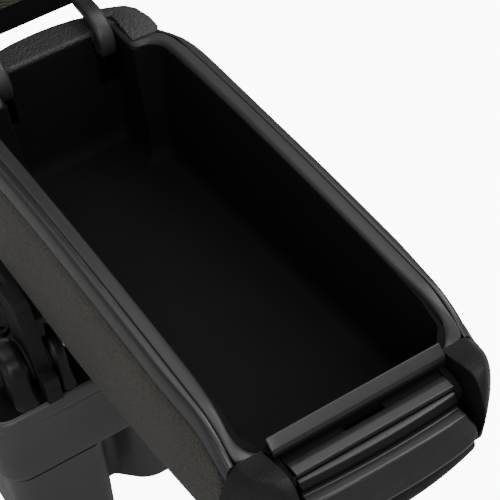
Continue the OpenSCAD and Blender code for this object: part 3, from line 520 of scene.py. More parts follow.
def rim_section(plan):
    """Outer band of the rim at each plan point: a nearly flat top from 2.35 mm inside the rim
    line, a roll-over, a side that leans out to 2.2 mm at 8.8 mm down, and back inside."""
    steps = np.array([(-2.35, -1.0), (-2.35, -0.35), (-2.2, -0.12), (-1.9, 0.0), (-1.1, 0.02), (-0.4, -0.22),
                      (0.1, -0.72), (0.5, -1.4), (0.85, -2.4), (1.25, -3.7), (1.65, -5.2), (1.95, -7.0),
                      (2.2, -8.8), (2.1, -9.2), (1.8, -9.35), (0.6, -9.3), (0.2, -6.5),
                      (-0.3, -4.4), (-1.2, -3.0), (-2.2, -2.6)])
    z = rim_z(plan[:, 1])[:, None]
    stretch = np.clip((steps[:, 0] + 2.35) / 2.6, 0, 1)
    shift = rim_shift(plan[:, 1])[:, None]
    return out_points(plan, steps[:, 0] + np.where(shift > 0, shift * stretch, shift), z + steps[:, 1])


UP_TO_CAP = 94   # plan points from the front end to under the corner cap
rim_rings = rim_section(rim_plan()[:UP_TO_CAP])
rim = join("rim_band_skin", loft("rim_right", place(rim_rings)), loft("rim_left", place(mirrored(rim_rings))))
stand_for(rim, "box", "smooth_black", "rim_band")


# Ledge bar, step band, handle and valance

# Section of the ledge bar: a sloping top with a rounded front edge, and a web down behind it
ledge_outline = round_profile([(-1.3, -7.1), (-2.0, -6.4), (-5.9, -10.1), (-6.6, -11.6), (-6.6, -13.7),
                               (-5.2, -13.7), (-5.0, -12.3), (-2.6, -10.0), (-2.6, -16.0), (-1.4, -16.0)],
                              [0.3, 0.6, 1.9, 0.8, 0.3, 0.2, 0.4, 0.4, 0.2, 0.2], 7)
stand_for(cross_bar("ledge_skin", ledge_outline, 40.8, r=0.8), "box", "smooth_black", "ledge_bar")

# The step band, and the lower shelf behind it on both sides of the gap for the lid's tongue
band_outline = round_profile([(-9.2, -16.9), (-12.6, -16.3), (-16.8, -16.2), (-16.8, -18.5), (-9.6, -18.6)],
                             [0.6, 4.0, 0.6, 0.3, 0.2], 7)
shelf_outline = rounded_box(-4.7, -10.0, -18.0, -19.1, 0.2, 2)
TONGUE_GAP = 9.6   # half width
shelf_x = np.linspace(TONGUE_GAP, HANDLE_HALF - 0.1, 6)
shelves = [loft("shelf", place(carried(shelf_outline, 0, side * shelf_x))) for side in (1, -1)]
band = join("step_band_skin", cross_bar("band", band_outline, HANDLE_HALF, r=0.7), *shelves)
stand_for(band, "box", "smooth_black", "step_panel")
# Painted shadow: the band's rear strip under the ledge and the shelves below it get the near-black bin
# finish, and the nose bulkhead in that recess is dressed the same, for the shadow under the ledge
second_finish(band, "bin_black", lambda c, n: (c[:, 1] > -9.2) | ((c[:, 2] < -17.5) & (c[:, 1] > -16)))
dress(NODES["nose_bulkhead"], "bin_black")


def handle_outline(u):
    """Section of the release handle at u from -1 to 1: a narrow bead, a hollow groove, a ridge and the
    apron down to the finger lip. Its middle bows forwards, by b = 2.5 (1 - u^2) at the lip and by k at
    the bead, and its ends draw in by e = |u|^8."""
    b, e, k = 2.5 * (1 - u * u), abs(u) ** 8, 1.5 * (1 - u * u) - 0.7
    pts = [(-15.0, -20.2), (-16.5, -19.5), (-18.5 - k, -19.9), (-20.3 - k, -22.8), (-19.4 - k, -26.4),
           (-25.3 - 0.4 * b, -25.9), (-28.6 - 0.8 * b + 1.4 * e, -33.6),
           (-30.6 - b + 1.8 * e, -37.2), (-30.4 - b + 1.8 * e, -39.2), (-28.6 - b + 1.8 * e, -39.2),
           (-26.4 - 0.8 * b + 1.4 * e, -36.0), (-23.4, -30.8), (-21.6, -29.8), (-19.2, -29.0),
           (-17.6, -28.2), (-16.9, -25.0), (-17.4, -23.6), (-16.8, -21.6), (-15.0, -21.4)]
    radii = [0.2, 0.8, 1.0, 1.6, 1.6, 1.6, 6.0, 1.2, 0.9, 0.5, 2.0, 1.0, 0.5, 0.5, 0.5, 0.4, 0.3, 0.3, 0.2]
    return round_profile(pts, radii, 9)


def handle_rings():
    """The handle from side to side. Below the ridge its half width grows by 3.2 mm, and the lower
    corner of the apron is rounded off; the ends are drawn in by a small radius."""
    xs, draws = end_rounding(HANDLE_HALF, 0.9, 45)
    rings = []
    for x, d in zip(xs, draws):
        u = x / HANDLE_HALF
        ring = inset(handle_outline(u), 0.6 * d)
        low = smoothstep((-26.5 - ring[:, 1]) / 7.0)
        corner = 2.6 * np.clip((-35.4 - ring[:, 1]) / 3.8, 0, 1) ** 2 * abs(u) ** 14
        rings.append(np.column_stack([x + np.sign(u) * (3.2 * low * abs(u) ** 3 - corner), ring]))
    return place(rings)


handle_main = loft("handle_main", handle_rings(), sharp=40.0)


def boss_rings(side, x0, x1, r_in, r_out, y, z, n=40):
    """A tube about a pin along x, from x0 to x1 on one side: its section, chamfered by 0.4 mm at the
    outside, turned about the pin as (y + r cos a, z + r sin a)."""
    a = np.linspace(0, 2 * math.pi, n, endpoint=False)[:, None]
    x = np.array([x0, x0, x0 + 0.4, x1 - 0.4, x1, x1])
    r = np.array([r_in, r_out - 0.4, r_out, r_out, r_out - 0.4, r_in])
    return np.stack(np.broadcast_arrays(side * x, y + r * np.cos(a), z + r * np.sin(a)), -1)


# Two bosses on each side turn on the handle's pin, each joined to the bead by a web
bosses = []
web = round_profile([(-17.9, -24.6), (-17.9, -21.4), (-15.6, -21.4), (-15.6, -24.6)], [0.2] * 4, 2)
for side in (1, -1):
    for x in (31.2, 2.0):
        bosses.append(loft("boss", place(boss_rings(side, x, x + 5, 1.55, 3.2, *HANDLE_PIN)), wrap=True))
        bosses.append(loft("boss_web", place(carried(web, 0, (side * (x + 0.1), side * (x + 4.9))))))
# The hook that holds the lid's catch
hook_outline = round_profile([(-18.2, -28.0), (-18.0, -25.6), (-14.6, -26.4), (-9.4, -29.0), (-8.3, -29.0),
                              (-8.3, -30.6), (-12.5, -30.6), (-16.6, -28.0)],
                             [0.2, 0.4, 0.8, 0.6, 0.3, 0.3, 1.5, 0.5], 4)
hook = cross_bar("hook", hook_outline, 5.0, r=0.4, middle=6)
handle = join("release_handle_skin", handle_main, hook, *bosses)
stand_for(handle, "handle", "smooth_black", "release_handle")
# Painted shade: the hollow groove and the faces under the bead get a near-black finish for the shade there
second_finish(handle, "groove_painted_shade",
              lambda c, n: (c[:, 1] < -17.5) & (c[:, 2] < -20.3) & (c[:, 2] > -26.3) & (n[:, 2] < 0.86))


VALANCE_HALF, VALANCE_BOW = 42.2, 5.5


def valance_outline(u):
    """Section of the valance under the handle: a rounded beam whose middle stands 5.5 mm further out."""
    b = VALANCE_BOW * (1 - u * u)
    pts = [(-14, -45.6), (-20 - b, -45.4), (-23.6 - b, -47.2), (-24.2 - b, -50.8), (-22.9 - b, -54.6),
           (-19.4 - b, -56.2), (-14, -56.2)]
    return round_profile(pts, [0.2, 1.4, 1.8, 2.5, 1.8, 1.2, 0.2], 6)


valance = cross_bar("valance_skin", valance_outline, VALANCE_HALF, r=0.3, middle=45)


def cut_away(obj, cutter):
    """Takes the cutter's volume out of a piece and deletes the cutter."""
    mod = obj.modifiers.new("cut", "BOOLEAN")
    mod.operation, mod.solver, mod.object = "DIFFERENCE", "EXACT", cutter
    bpy.context.view_layer.update()
    mesh = evaluated_mesh(obj)
    obj.modifiers.remove(mod)
    obj.data = mesh
    bpy.data.objects.remove(cutter)


def slot_block(x, w, z, h, y0, y1):
    """The volume of a slot with rounded ends, w by h, running from y0 to y1."""
    ring = rounded_box(x - w / 2, x + w / 2, z - h / 2, z + h / 2, h * 0.49, 4)
    return loft("slot", place(carried(ring, 1, (y0, y1))))


for x in range(-36, 37, 12):
    bow = VALANCE_BOW * (1 - (x / VALANCE_HALF) ** 2)
    cut_away(valance, slot_block(x, 6.0, -52.8, 1.3, -22.6 - bow, -34.0))
crease(valance, 38.0)
stand_for(valance, "box", "cheek_black", "front_valance")

# Corner cheeks

CHEEK_REACH = 29.5
CHEEK = np.array([  # share of the reach, fold x, widest x, foot x, crest z, foot z
    (0.0, 55.4, 64.0, 58.6, -13.4, -62.7), (0.17, 55.0, 62.2, 57.0, -12.3, -60.0),
    (0.34, 54.4, 59.8, 54.8, -10.9, -57.8), (0.475, 53.2, 57.2, 52.8, -9.6, -56.0),
    (0.61, 51.0, 54.0, 50.0, -8.8, -54.2), (0.71, 49.2, 51.2, 47.6, -8.6, -51.5),
    (0.81, 47.2, 48.2, 45.2, -10.2, -46.5), (0.90, 45.6, 45.8, 43.8, -14.2, -41.0),
    (0.965, 44.0, 43.8, 43.0, -19.0, -34.0), (1.0, 42.95, 42.9, 42.8, -22.0, -30.0)])


def cheek_rings(side=1, count=64):
    """Sections of a corner cheek from its front edge back to the rim. Each runs along the crest from
    the flat inner wall to the fold, bulges as sin(pi t^0.85)^0.8 down the outside to the foot, and
    returns up the inner wall; the front edge is rounded over."""
    share = 1 - (1 - np.linspace(0, 1, count)) ** 1.6
    rings = []
    for s in share[::-1]:
        fold, wide, foot, crest, base = curve(s, CHEEK[:, 0], CHEEK[:, 1:])
        y = -CHEEK_REACH * s - 0.8 * (1 - s)
        w = max(fold - NOSE_HALF, 0.3)
        top = [(NOSE_HALF + 0.02, crest - 0.9), (NOSE_HALF + min(0.25, w / 4), crest - 0.25),
               (NOSE_HALF + min(0.9, w / 3), crest),
               (fold - min(3.4, w * 0.6), crest + 0.05), (fold - min(1.8, w * 0.35), crest - 0.1),
               (fold - min(0.7, w * 0.2), crest - 0.55), (fold, crest - 1.3)]
        t = np.linspace(0.05, 1, 22)
        mid = wide - (0.55 * (fold + 0.6) + 0.45 * foot)
        x = (fold + 0.6) + (foot - fold - 0.6) * t + mid * np.sin(math.pi * np.minimum(t ** 0.85, 1)) ** 0.8
        z = (crest - 1.6) + (base - crest + 1.6) * t
        under = [(foot - min(0.5, (foot - NOSE_HALF) / 3), base - 0.35), (NOSE_HALF + 0.6, base - 0.4),
                 (NOSE_HALF, base)]
        ring = np.concatenate([top, np.column_stack([x, z]), under])
        rings.append(np.column_stack([ring[:, 0] * side, np.full(len(ring), y), ring[:, 1]]))
    return place(rings)


for side, label in SIDES:
    cheek = loft(f"cheek_{label}_skin", cheek_rings(side), sharp=50.0)
    stand_for(cheek, "box", "cheek_black", f"cheek_{label}")
    # Painted shade: the flat inner wall of each cheek gets the near-black bin finish, for the shade in the
    # recess
    second_finish(cheek, "bin_black", lambda c, n: (np.abs(c[:, 0]) < 42.5) & (np.abs(n[:, 0]) > 0.7))

# Flange of the bin


def soften(points, times=3):
    """Evens out a polyline: each point moves towards the mean of its two neighbours."""
    p = np.array(points, float)
    for _ in range(times):
        p[1:-1] = 0.5 * p[1:-1] + 0.25 * (p[:-2] + p[2:])
    return p


def along(points, count):
    """Points spread evenly along a polyline, softened."""
    p = np.asarray(points, float)
    s = np.concatenate([[0], np.cumsum(np.linalg.norm(np.diff(p, axis=0), axis=1))])
    t = np.linspace(0, s[-1], count)
    return soften(np.stack([np.interp(t, s, p[:, k]) for k in range(p.shape[1])], 1), 3)


# Plan lines of the flange, front to rear on the right: the edge of the bin and the seam to the outer band
FLANGE_IN = [
    (42.4, -0.4), (44.4, 0.8), (46.2, 2.6), (47.6, 4.4), (49.2, 6.4), (50.2, 8.8), (50.1, 12), (49.5, 17),
    (48.6, 27), (47.9, 40), (47.8, 80), (47.8, 130), (47.8, 180), (47.8, 222), (47.0, 230.5),
    (44.6, 235.6), (40.8, 237.8), (37.6, 238.2), (35.2, 239.4), (34.4, 242.5), (34.3, 252), (34.3, 262.5)]
FLANGE_OUT = [
    (44.6, -1.3), (48.4, -1.1), (52.4, -0.8), (54.6, -0.4), (54.5, 3.4), (54.4, 8), (54.4, 12), (54.5, 18),
    (54.6, 28), (54.6, 40), (54.6, 80), (54.7, 130), (54.8, 180), (55.0, 218), (54.0, 231),
    (51.8, 238.4), (47.6, 243.4), (43.0, 245.0), (40.0, 245.4), (38.4, 246.8), (38.2, 254), (38.2, 262.5)]


def flange_rings(side=1, count=170):
    """Sections of the flange between the plan lines of the bin's edge and of the seam: a lip 7 mm down
    inside, a 2.5 mm round over the edge, the nearly flat top and a 0.5 mm round at the seam."""
    pairs = along(np.hstack([FLANGE_IN, FLANGE_OUT]), count)
    inner, outer = pairs[:, :2], pairs[:, 2:]
    mid = (inner + outer) / 2
    z = rim_z(np.maximum(mid[:, 1], 0)) + 0.1
    width = np.linalg.norm(outer - inner, axis=1)[:, None]
    way = (outer - inner) / width
    steps = [(0.0, -5.5), (0.0, -3.0), (0.2, -1.9), (0.65, -0.95), (1.4, -0.35), (2.4, -0.05), (3.4, 0.03)]
    ends = [(2.4, 0.05), (1.2, 0.05), (0.6, -0.02), (0.28, -0.25), (0.15, -0.7), (0.15, -2.4), (1.2, -2.8)]
    fit = np.clip((width - 1.0) / 5.8, 0.25, 1.0)
    cols = [np.column_stack([inner + way * d * fit, z + (h * fit[:, 0] if h > -2.5 else h)])
            for d, h in steps]
    cols += [np.column_stack([outer - way * np.minimum(d, width * 0.4), z + h]) for d, h in ends]
    cols.append(np.column_stack([inner + way * 0.8, z - 5.0]))
    return place(np.stack(cols, 1) * np.array([side, 1.0, 1.0]))


flange = join("bin_flange_trim", *[loft("flange", flange_rings(side), sharp=50.0) for side in (1, -1)])
stand_for(flange, "box", "rim_black")
# Painted shade: the lip that runs down into the bin gets the near-black bin finish, for the shade inside the
# bin
second_finish(flange, "bin_black", lambda c, n: c[:, 2] < rim_z(np.maximum(c[:, 1], 0)) - 2.3)

# Bin


def liner_corners(d, bay, corner, front_corner=3.0, steps=9):
    """Rounded plan outline of the bin: the main tub and the narrower hinge bay behind it, every wall
    moved in by d and the bay's by bay."""
    half, end, narrow, back = BIN_HALF - d, BIN_END - d, BAY_HALF - bay, BAY_END - bay
    pts = [(half - 6, 1.5 + d), (half, 7.9 + d), (half, end), (narrow, end), (narrow, back),
           (-narrow, back), (-narrow, end), (-half, end), (-half, 7.9 + d), (-half + 6, 1.5 + d)]
    radii = [front_corner, front_corner, corner, 1.5, 4, 4, 1.5, corner, front_corner, front_corner]
    return round_profile(pts, radii, steps)


def liner_loop(d, bay, corner):
    """The same outline with its long sides divided, always into as many parts as at d = 0."""
    ring, base = liner_corners(d, bay, corner), liner_corners(0, 0, 8)
    parts = np.maximum(1, np.linalg.norm(np.roll(base, -1, 0) - base, axis=1) // 9).astype(int)
    return np.concatenate([a + (b - a) * (np.arange(m) / m)[:, None]
                           for a, b, m in zip(ring, np.roll(ring, -1, 0), parts)])


def bin_floor(ring, d):
    """The ring laid d above the bin floor, which rises 19 mm to the front."""
    return np.column_stack([ring, -BIN_DEPTH + 19.0 * (1 - ring[:, 1] / BIN_END) + d])


def bin_rings():
    """The tub as closed loops: up the outside, over the top under the flange, down the inside with a
    slow taper and round into the floor, 6 mm in and 9 mm down."""

    def below_rim(ring, d):
        return np.column_stack([ring, rim_z(np.maximum(ring[:, 1], 0)) - d])

    loops = [bin_floor(liner_loop(2.6, 0, 8), -2.0), bin_floor(liner_loop(-1.4, -1.2, 9), 10),
             below_rim(liner_loop(-1.9, -1.2, 9), 3.4), below_rim(liner_loop(-1.9, -1.2, 9), 2.2),
             below_rim(liner_loop(0.1, 0.1, 8), 2.2), below_rim(liner_loop(0.4, 0.1, 8), 12)]
    for a in np.linspace(0, math.pi / 2, 7):
        draw = 6 - 6 * math.cos(a)
        loops.append(bin_floor(liner_loop(5.5 + draw, 1.5 + draw, 8), 9 - 9 * math.sin(a)))
    return place(loops)


tub = loft("bin_liner_skin", bin_rings())
for side in (1, -1):
    slot = np.array([(23.4, 255.0), (34.2, 255.0), (34.2, 272.0), (23.4, 272.0)]) * np.array([side, 1])
    cut_away(tub, loft("arm_slot", place(carried(slot, 2, (-38.0, 12.0)))))
crease(tub, 32.0)
# The bin's black plastic, darkened further as painted shade for its unlit inside
stand_for(tub, "box", "bin_black", "bin_liner")

# Rear cover

# Plan lines of the rear cover, from the right corner to the middle: its edge at the bin and its outer edge
COVER_IN = [(42.5, 242.6), (39.6, 246), (38.9, 252), (38.7, 258), (37.4, 261.9), (34.6, 263.3),
            (30.0, 263.6), (22, 263.6), (11, 263.6), (0, 263.6)]
COVER_OUT = [(50.2, 241.8), (51.9, 246.5), (52.0, 254), (49.9, 263.2), (46.2, 269.2), (40.6, 273.2),
             (34.0, 277.0), (23.0, 280.9), (11.6, 282.8), (0, 283.4)]


def cover_rings(count=120):
    """Sections of the rear cover from the right corner round to the left: the lip at the bin side with
    a 1.6 mm round, the top that sinks from 4.4 to 5.6 mm towards the middle, a 2 mm round at the
    outer edge and the wall down to the shell."""
    pairs = along(np.hstack([COVER_IN, COVER_OUT]), count)
    pairs = np.concatenate([pairs, pairs[-2::-1] * np.array([-1, 1, -1, 1])])
    pairs[count - 12:count + 11] = soften(pairs[count - 12:count + 11], 8)
    inner, outer = pairs[:, :2], pairs[:, 2:]
    width = np.linalg.norm(outer - inner, axis=1)[:, None]
    way = (outer - inner) / width
    z = -4.4 - 1.2 * smoothstep((38 - np.abs(pairs[:, 2])) / 10)
    foot = rim_z(outer[:, 1]) - 10.0
    cols = [np.column_stack([inner + way * d, z + h]) for d, h in
            [(1.0, -5.4), (0.0, -5.0), (0.0, -1.5), (0.2, -0.75), (0.7, -0.2), (1.5, 0.05), (2.6, 0.0),
             (4.0, -0.12)]]
    cols += [np.column_stack([inner + way * width * f, z + 0.0]) for f in (0.45, 0.62, 0.78)]
    cols += [np.column_stack([outer - way * d, z + h]) for d, h in
             [(2.2, -0.1), (1.2, -0.4), (0.4, -1.0), (0.0, -1.9)]]
    cols += [np.column_stack([outer + way * d, z + (foot - z) * f]) for f, d in [(0.55, 1.2), (1.0, 2.4)]]
    cols.append(np.column_stack([outer - way * 0.2, foot]))
    cols.append(np.column_stack([outer - way * 2.2, z - 3.2]))
    cols.append(np.column_stack([inner + way * 3.0, z - 3.2]))
    return place(np.stack(cols, 1))


def stacked(name, rings, at=place):
    """A solid through closed plan rings, given as pairs of ring and height."""
    obj = capped(name, at([np.insert(ring, 2, z, axis=1) for ring, z in rings]))
    crease(obj, 32.0)
    return obj


CORNER_CAP = [(36.4, 241.9), (49.4, 240.8), (52.2, 243.9), (52.7, 252.8), (50.6, 263.8), (46.9, 269.4),
              (39.0, 273.4), (32.5, 276.0), (28.0, 276.6), (27.2, 268.5), (33.4, 267.2), (37.5, 266.0),
              (37.4, 259.3)]


def corner_cap(side):
    """The raised plate over a rear corner: a crisp outline with 0.4 mm edges, 2 mm thick."""
    radii = [0.8, 1.2, 1.6, 2.5, 3.0, 3.0, 4.0, 5.0, 1.0, 1.0, 2.0, 1.0, 0.8]
    ring = round_profile(CORNER_CAP, radii, 4) * np.array([side, 1])
    levels = [(0.7, -4.6), (0.55, -3.55), (0.0, -3.45), (0.0, -2.75), (0.14, -2.45), (0.45, -2.3)]
    return stacked("corner_cap", [(inset(ring, d), z) for d, z in levels])


def lug(x, side):
    """A 4 mm lug that hangs from the cover and holds the hinge pin, rounded about it by 4.4 mm."""
    a, r = np.linspace(math.pi, 2 * math.pi, 15), 4.4
    ring = np.concatenate([[(HINGE[0] + r, -6.6), (HINGE[0] - r, -6.6)],
                           np.column_stack([HINGE[0] + r * np.cos(a), HINGE[1] + r * np.sin(a)])])
    return loft("lug", place(carried(ring, 0, (side * x, side * (x + 4)))))


cover = join("rear_cover_skin", loft("cover", cover_rings(), sharp=45.0), corner_cap(1), corner_cap(-1),
             *[lug(x, side) for side in (1, -1) for x in (19.6, 34.0)])
stand_for(cover, "box", "coarse_black", "rear_cover")

# Hinge arms


def swept(name, path, widths, depths, x_mid, radius=2.0, steps=5):
    """A bar with a rounded rectangular section swept along a path in the y, z plane."""
    path = np.asarray(path, float)
    way = np.gradient(path, axis=0)
    way /= np.linalg.norm(way, axis=1, keepdims=True)
    side = np.stack([-way[:, 1], way[:, 0]], 1)
    rings = []
    for p, n, w, d in zip(path, side, widths, depths):
        ring = rounded_box(-w / 2, w / 2, -d / 2, d / 2, min(radius, 0.45 * d, 0.45 * w), steps)
        across, out = ring.T
        rings.append(np.column_stack([x_mid + across, p[0] + n[0] * out, p[1] + n[1] * out]))
    return loft(name, place(rings), sharp=45.0)


ARM_MID = 28.8   # x of the middle of an arm


def hinge_arm(side):
    """The gooseneck: an arc of 15.5 mm radius about the pin, a flat run back and the strap that lies
    on the open lid; a bar under the cover joins it to the hub on the pin."""
    a = np.radians(np.linspace(189, 92, 40))
    arc = 15.5 * np.column_stack([np.cos(a), np.sin(a)])
    rest = curve(np.linspace(0, 6, 40), np.arange(7),
                 [(1.5, 15.5), (6.5, 16.0), (10.6, 18.0), (12.7, 22.4), (13.6, 30.0), (14.6, 42.0),
                  (15.6, 55.0)])
    path = np.concatenate([arc, rest]) + HINGE
    share = np.linspace(0, 1, len(path))
    width = 9.2 - 0.5 * (1 - smoothstep(share / 0.08))
    depth = curve(share, [0, 0.04, 0.5, 0.66, 0.8, 0.96, 1.0], [4.2, 5.8, 5.8, 5.0, 4.0, 3.6, 1.8])
    arm = swept("arm", path, width, depth, side * ARM_MID, radius=2.3)
    hub = loft("hub", place(boss_rings(side, ARM_MID - 4.6, ARM_MID + 4.6, 2.0, 4.1, *HINGE)), wrap=True)
    bar = rounded_box(-14.6, -3.6, -2.6, 2.6, [1.2, 0.2, 0.2, 1.2], 4) + HINGE
    web = loft("web", place(carried(bar, 0, (side * (ARM_MID - 4.4), side * (ARM_MID + 4.4)))))
    return join(f"arm_{'right' if side > 0 else 'left'}_skin", arm, hub, web)


for side, label in SIDES:
    stand_for(hinge_arm(side), "lid", "rim_black", f"hinge_arm_{label}")

# Lid, shaped closed and then placed open

LID_FRONT, LID_REAR, LID_HALF = -14.0, 261.0, 57.6
LID_Z, PANEL = 0.5, 3.0   # underside of the closed lid and thickness of its panel


def lid_share(y):
    """Half width of the lid as a share: full along the middle, rounded in at both ends."""

    def turn(t):
        return 1 - (1 - np.clip(t, 0, 1) ** 2.6) ** (1 / 2.6)

    y = np.asarray(y, float)
    return 1 - 0.34 * turn((y - (LID_REAR - 18)) / 18.2) - 0.3 * turn((LID_FRONT + 26 - y) / 26.4)


def lid_stations(y0, y1, count):
    """Positions along the lid, closer together towards its ends."""
    return y0 + (y1 - y0) * (1 - np.cos(np.linspace(0, math.pi, count))) / 2


def lid_plate(name, y0, y1, half, z0, z1, r=0.8, count=60):
    """A flat plate of the lid's plan between two heights, its edges rounded by r."""
    rings = []
    for y in lid_stations(y0, y1, count):
        w = half * lid_share(y)
        rings.append(np.insert(rounded_box(-w, w, z0, z1, r, 4), 1, y, axis=1))
    return loft(name, place_lid(rings))


panel = lid_plate("lid_panel_skin", LID_FRONT + 1, LID_REAR - 0.5, LID_HALF - 2.2, LID_Z, LID_Z + PANEL)
stand_for(panel, "lid", "bin_black", "lid_panel")

# The lining, with a tongue between the arms
lining_plan = round_profile([(42, 8), (42, 211), (21.5, 211), (21.5, 247),
                             (-21.5, 247), (-21.5, 211), (-42, 211), (-42, 8)], [6, 4, 2, 3, 3, 2, 4, 6], 6)
lining = stacked("lid_lining_skin",
                 [(inset(lining_plan, d), LID_Z + h) for d, h in ((0.3, -0.8), (0.0, -0.6), (0.0, 0.1))],
                 at=place_lid)
stand_for(lining, "lid", "grained_black", "lid_lining")


def pad_rings(grow, count=56, around=44):
    """Sections of the cushion: a flat foot on the panel and the upper half of a superellipse
    |x/w|^3.2 + |z/h|^2.4 = 1, whose height h falls as (1 - |e|^5)^0.55 towards both ends."""
    y = lid_stations(LID_FRONT - grow, LID_REAR + grow, count)[:, None]
    e = 2 * (y - LID_FRONT) / (LID_REAR - LID_FRONT) - 1
    h = 26.5 * np.maximum(0.10, 1 - np.abs(e) ** 5) ** 0.55 + grow
    w = LID_HALF * lid_share(y) + grow
    a = np.linspace(0, math.pi, around)
    x = w * np.sign(np.cos(a)) * np.abs(np.cos(a)) ** (2 / 3.2)
    z = LID_Z + 5.7 + (h - 2.6) * np.abs(np.sin(a)) ** (2 / 2.4)
    foot = LID_Z + np.broadcast_to([4.0, 3.1, 3.1, 4.0], (count, 4))
    x, z = np.hstack([x, 0.6 - w, 2.4 - w, w - 2.4, w - 0.6]), np.hstack([z, foot])
    return np.stack(np.broadcast_arrays(x, y, z), -1)


def filled(obj, voxel=0.005, push=4.0, cap=0.005, frames=20):
    """Lets a closed mesh swell as a stuffed cover: remeshed to even cells, blown up as cloth with its
    foot pinned, and no point moved by more than the cap. Lengths are metres."""
    remesh = obj.modifiers.new("cells", "REMESH")
    remesh.mode, remesh.voxel_size = "VOXEL", voxel
    start = evaluated_mesh(obj)
    obj.modifiers.remove(remesh)
    obj.data = start
    before = mesh_values(start.vertices, "co")
    foot = obj.vertex_groups.new(name="foot")
    foot.add(np.flatnonzero(before[:, 2] < before[:, 2].min() + 0.003).tolist(), 1.0, "REPLACE")
    cloth = obj.modifiers.new("cloth", "CLOTH")
    cloth.settings.vertex_group_mass = "foot"
    cloth.settings.use_pressure = True
    cloth.settings.uniform_pressure_force = push
    cloth.settings.tension_stiffness = cloth.settings.compression_stiffness = 25
    cloth.settings.effector_weights.gravity = 0.0
    cloth.point_cache.frame_end = frames
    for f in range(1, frames + 1):
        bpy.context.scene.frame_set(f)
    swollen = evaluated_mesh(obj)
    step = mesh_values(swollen.vertices, "co") - before
    bpy.data.meshes.remove(swollen)
    obj.modifiers.remove(cloth)
    obj.vertex_groups.clear()
    bpy.context.scene.frame_set(1)
    length = np.linalg.norm(step, axis=1, keepdims=True)
    step *= np.minimum(1.0, cap / np.maximum(length, 1e-9))
    start.vertices.foreach_set("co", (before + step).ravel())


# The cushion is filled as the lid lies closed, kept off the panel, and then placed open
pad = capped("lid_pad_skin", plain(pad_rings(0.5)))
filled(pad)
points = mesh_values(pad.data.vertices, "co") * 1000.0
points[:, 2] = np.maximum(points[:, 2], LID_Z + PANEL + 0.1)
pad.data.vertices.foreach_set("co", place_lid(points).ravel())
pad.data.polygons.foreach_set("use_smooth", [True] * len(pad.data.polygons))
pad.data.update()
stand_for(pad, "lid", "pad_leather", "lid_pad")


def welt_rings(height, r=1.1, count=100, around=8):
    """The welt of the cover: a round bead of radius r along the foot of the pad, on the panel's edge."""
    y = lid_stations(LID_FRONT + 3, LID_REAR - 3, count)
    w = LID_HALF * lid_share(y) - 1.9
    path = np.concatenate([np.column_stack([w, y]), np.column_stack([-w, y])[::-1]])
    way = np.roll(path, -1, 0) - np.roll(path, 1, 0)
    way /= np.linalg.norm(way, axis=1, keepdims=True)
    out = np.column_stack([way[:, 1], -way[:, 0], np.zeros(len(way))])[:, None]
    a = np.linspace(0, 2 * math.pi, around, endpoint=False)[None, :, None]
    middle = np.insert(path, 2, height, axis=1)[:, None]
    return middle + out * r * np.cos(a) + np.array([0.0, 0.0, r]) * np.sin(a)


welt = loft("pad_welt", place_lid(welt_rings(LID_Z + PANEL + 1.0)), wrap=True)
stand_for(welt, "lid", "pad_leather")

# Saddle on the console

# Row frame millimetres from here on
CAP_HALF, CAP_LEN = 106.0, 110.0
CAP_Z, LIP_Z, CAP_TOP = 64.0, 103.5, 112.0   # underside, seam between its halves, top
PLUG_HALF, PLUG_FRONT = 103.0, 53.8
PIVOT = np.array([-34.2, 127.0])             # y, z of the tilt axle


def cap_ring(d):
    """Plan of the cap, moved in by d, its corners rounded to 14 mm."""
    w, h, r = CAP_HALF - d, CAP_LEN / 2 - d, max(14 - d, 1.0)
    return round_profile([(w, -h), (w, h), (-w, h), (-w, -h)], [r] * 4, 10)


def plug_ring(d):
    """Plan of the plug: two lobes at its ends, a waist beside each and a swollen middle."""
    f, h, n, q, m = PLUG_FRONT - d, PLUG_HALF - d, 24 - d, 50 + d, 47 - d
    quarter = [(h, f, 12), (q, f, 9), (q - 5, n, 6), (m * 0.62, m * 0.99, 18)]
    top = quarter + [(-x, y, r) for x, y, r in quarter[::-1]]
    pts = np.array(top + [(x, -y, r) for x, y, r in top[::-1]])
    return round_profile(pts[:, :2], pts[:, 2], 8)


def standing(name, ring_at, levels):
    """A solid whose plan ring_at(d) is moved in by d at each height."""
    return stacked(name, [(ring_at(d), z) for d, z in levels], at=plain)


cap_top = standing("cap_top_skin", cap_ring,
                   [(4.0, 101.0), (4.0, LIP_Z - 0.8), (0.8, LIP_Z - 0.4), (0.2, LIP_Z), (0.0, LIP_Z + 0.8),
                    (0.0, 108.4), (0.15, 109.5), (0.6, 110.6), (1.4, 111.4), (2.5, 111.85), (3.8, CAP_TOP)])
stand_for(cap_top, "pedestal", "satin_black", "cap_top")
# Painted shadow: the upward faces of the cap's top get the near-black bin finish, for the shadow that the box
# casts on them
second_finish(cap_top, "bin_black", lambda c, n: n[:, 2] > 0.97)
cap_base = standing("cap_base_skin", cap_ring,
                    [(9.0, CAP_Z), (3.4, CAP_Z), (2.2, 64.3), (1.3, 65.1), (0.8, 66.4), (0.6, 68.5),
                     (0.4, 101.6), (0.7, 102.3), (1.3, LIP_Z - 0.8), (3.6, LIP_Z - 0.8)])
stand_for(cap_base, "pedestal", "satin_black", "cap_base")
plug = standing("console_plug_skin", plug_ring,
                [(8.0, 0.0), (5.4, 0.15), (3.6, 0.9), (2.4, 2.3), (1.7, 4.8), (0.9, 30.0), (0.6, 52.0),
                 (0.35, 58.0), (0.0, 62.0), (0.0, 63.98)])
stand_for(plug, "pedestal", "satin_black", "console_plug")


def saddle_ring():
    """Side view of a saddle cheek: a half circle of 14.2 mm over the axle, flared down to the cap."""
    a = np.radians(np.linspace(0, 180, 25))
    flare = [(14.5, -3.0), (15.6, -7.0), (18.0, -11.0), (22.0, -14.9)]
    back = [(-18.2, -14.9), (-16.4, -11.0), (-15.0, -7.0), (-14.4, -3.0)]
    return np.concatenate([flare[::-1], 14.2 * np.column_stack([np.cos(a), np.sin(a)]), back[::-1]]) + PIVOT


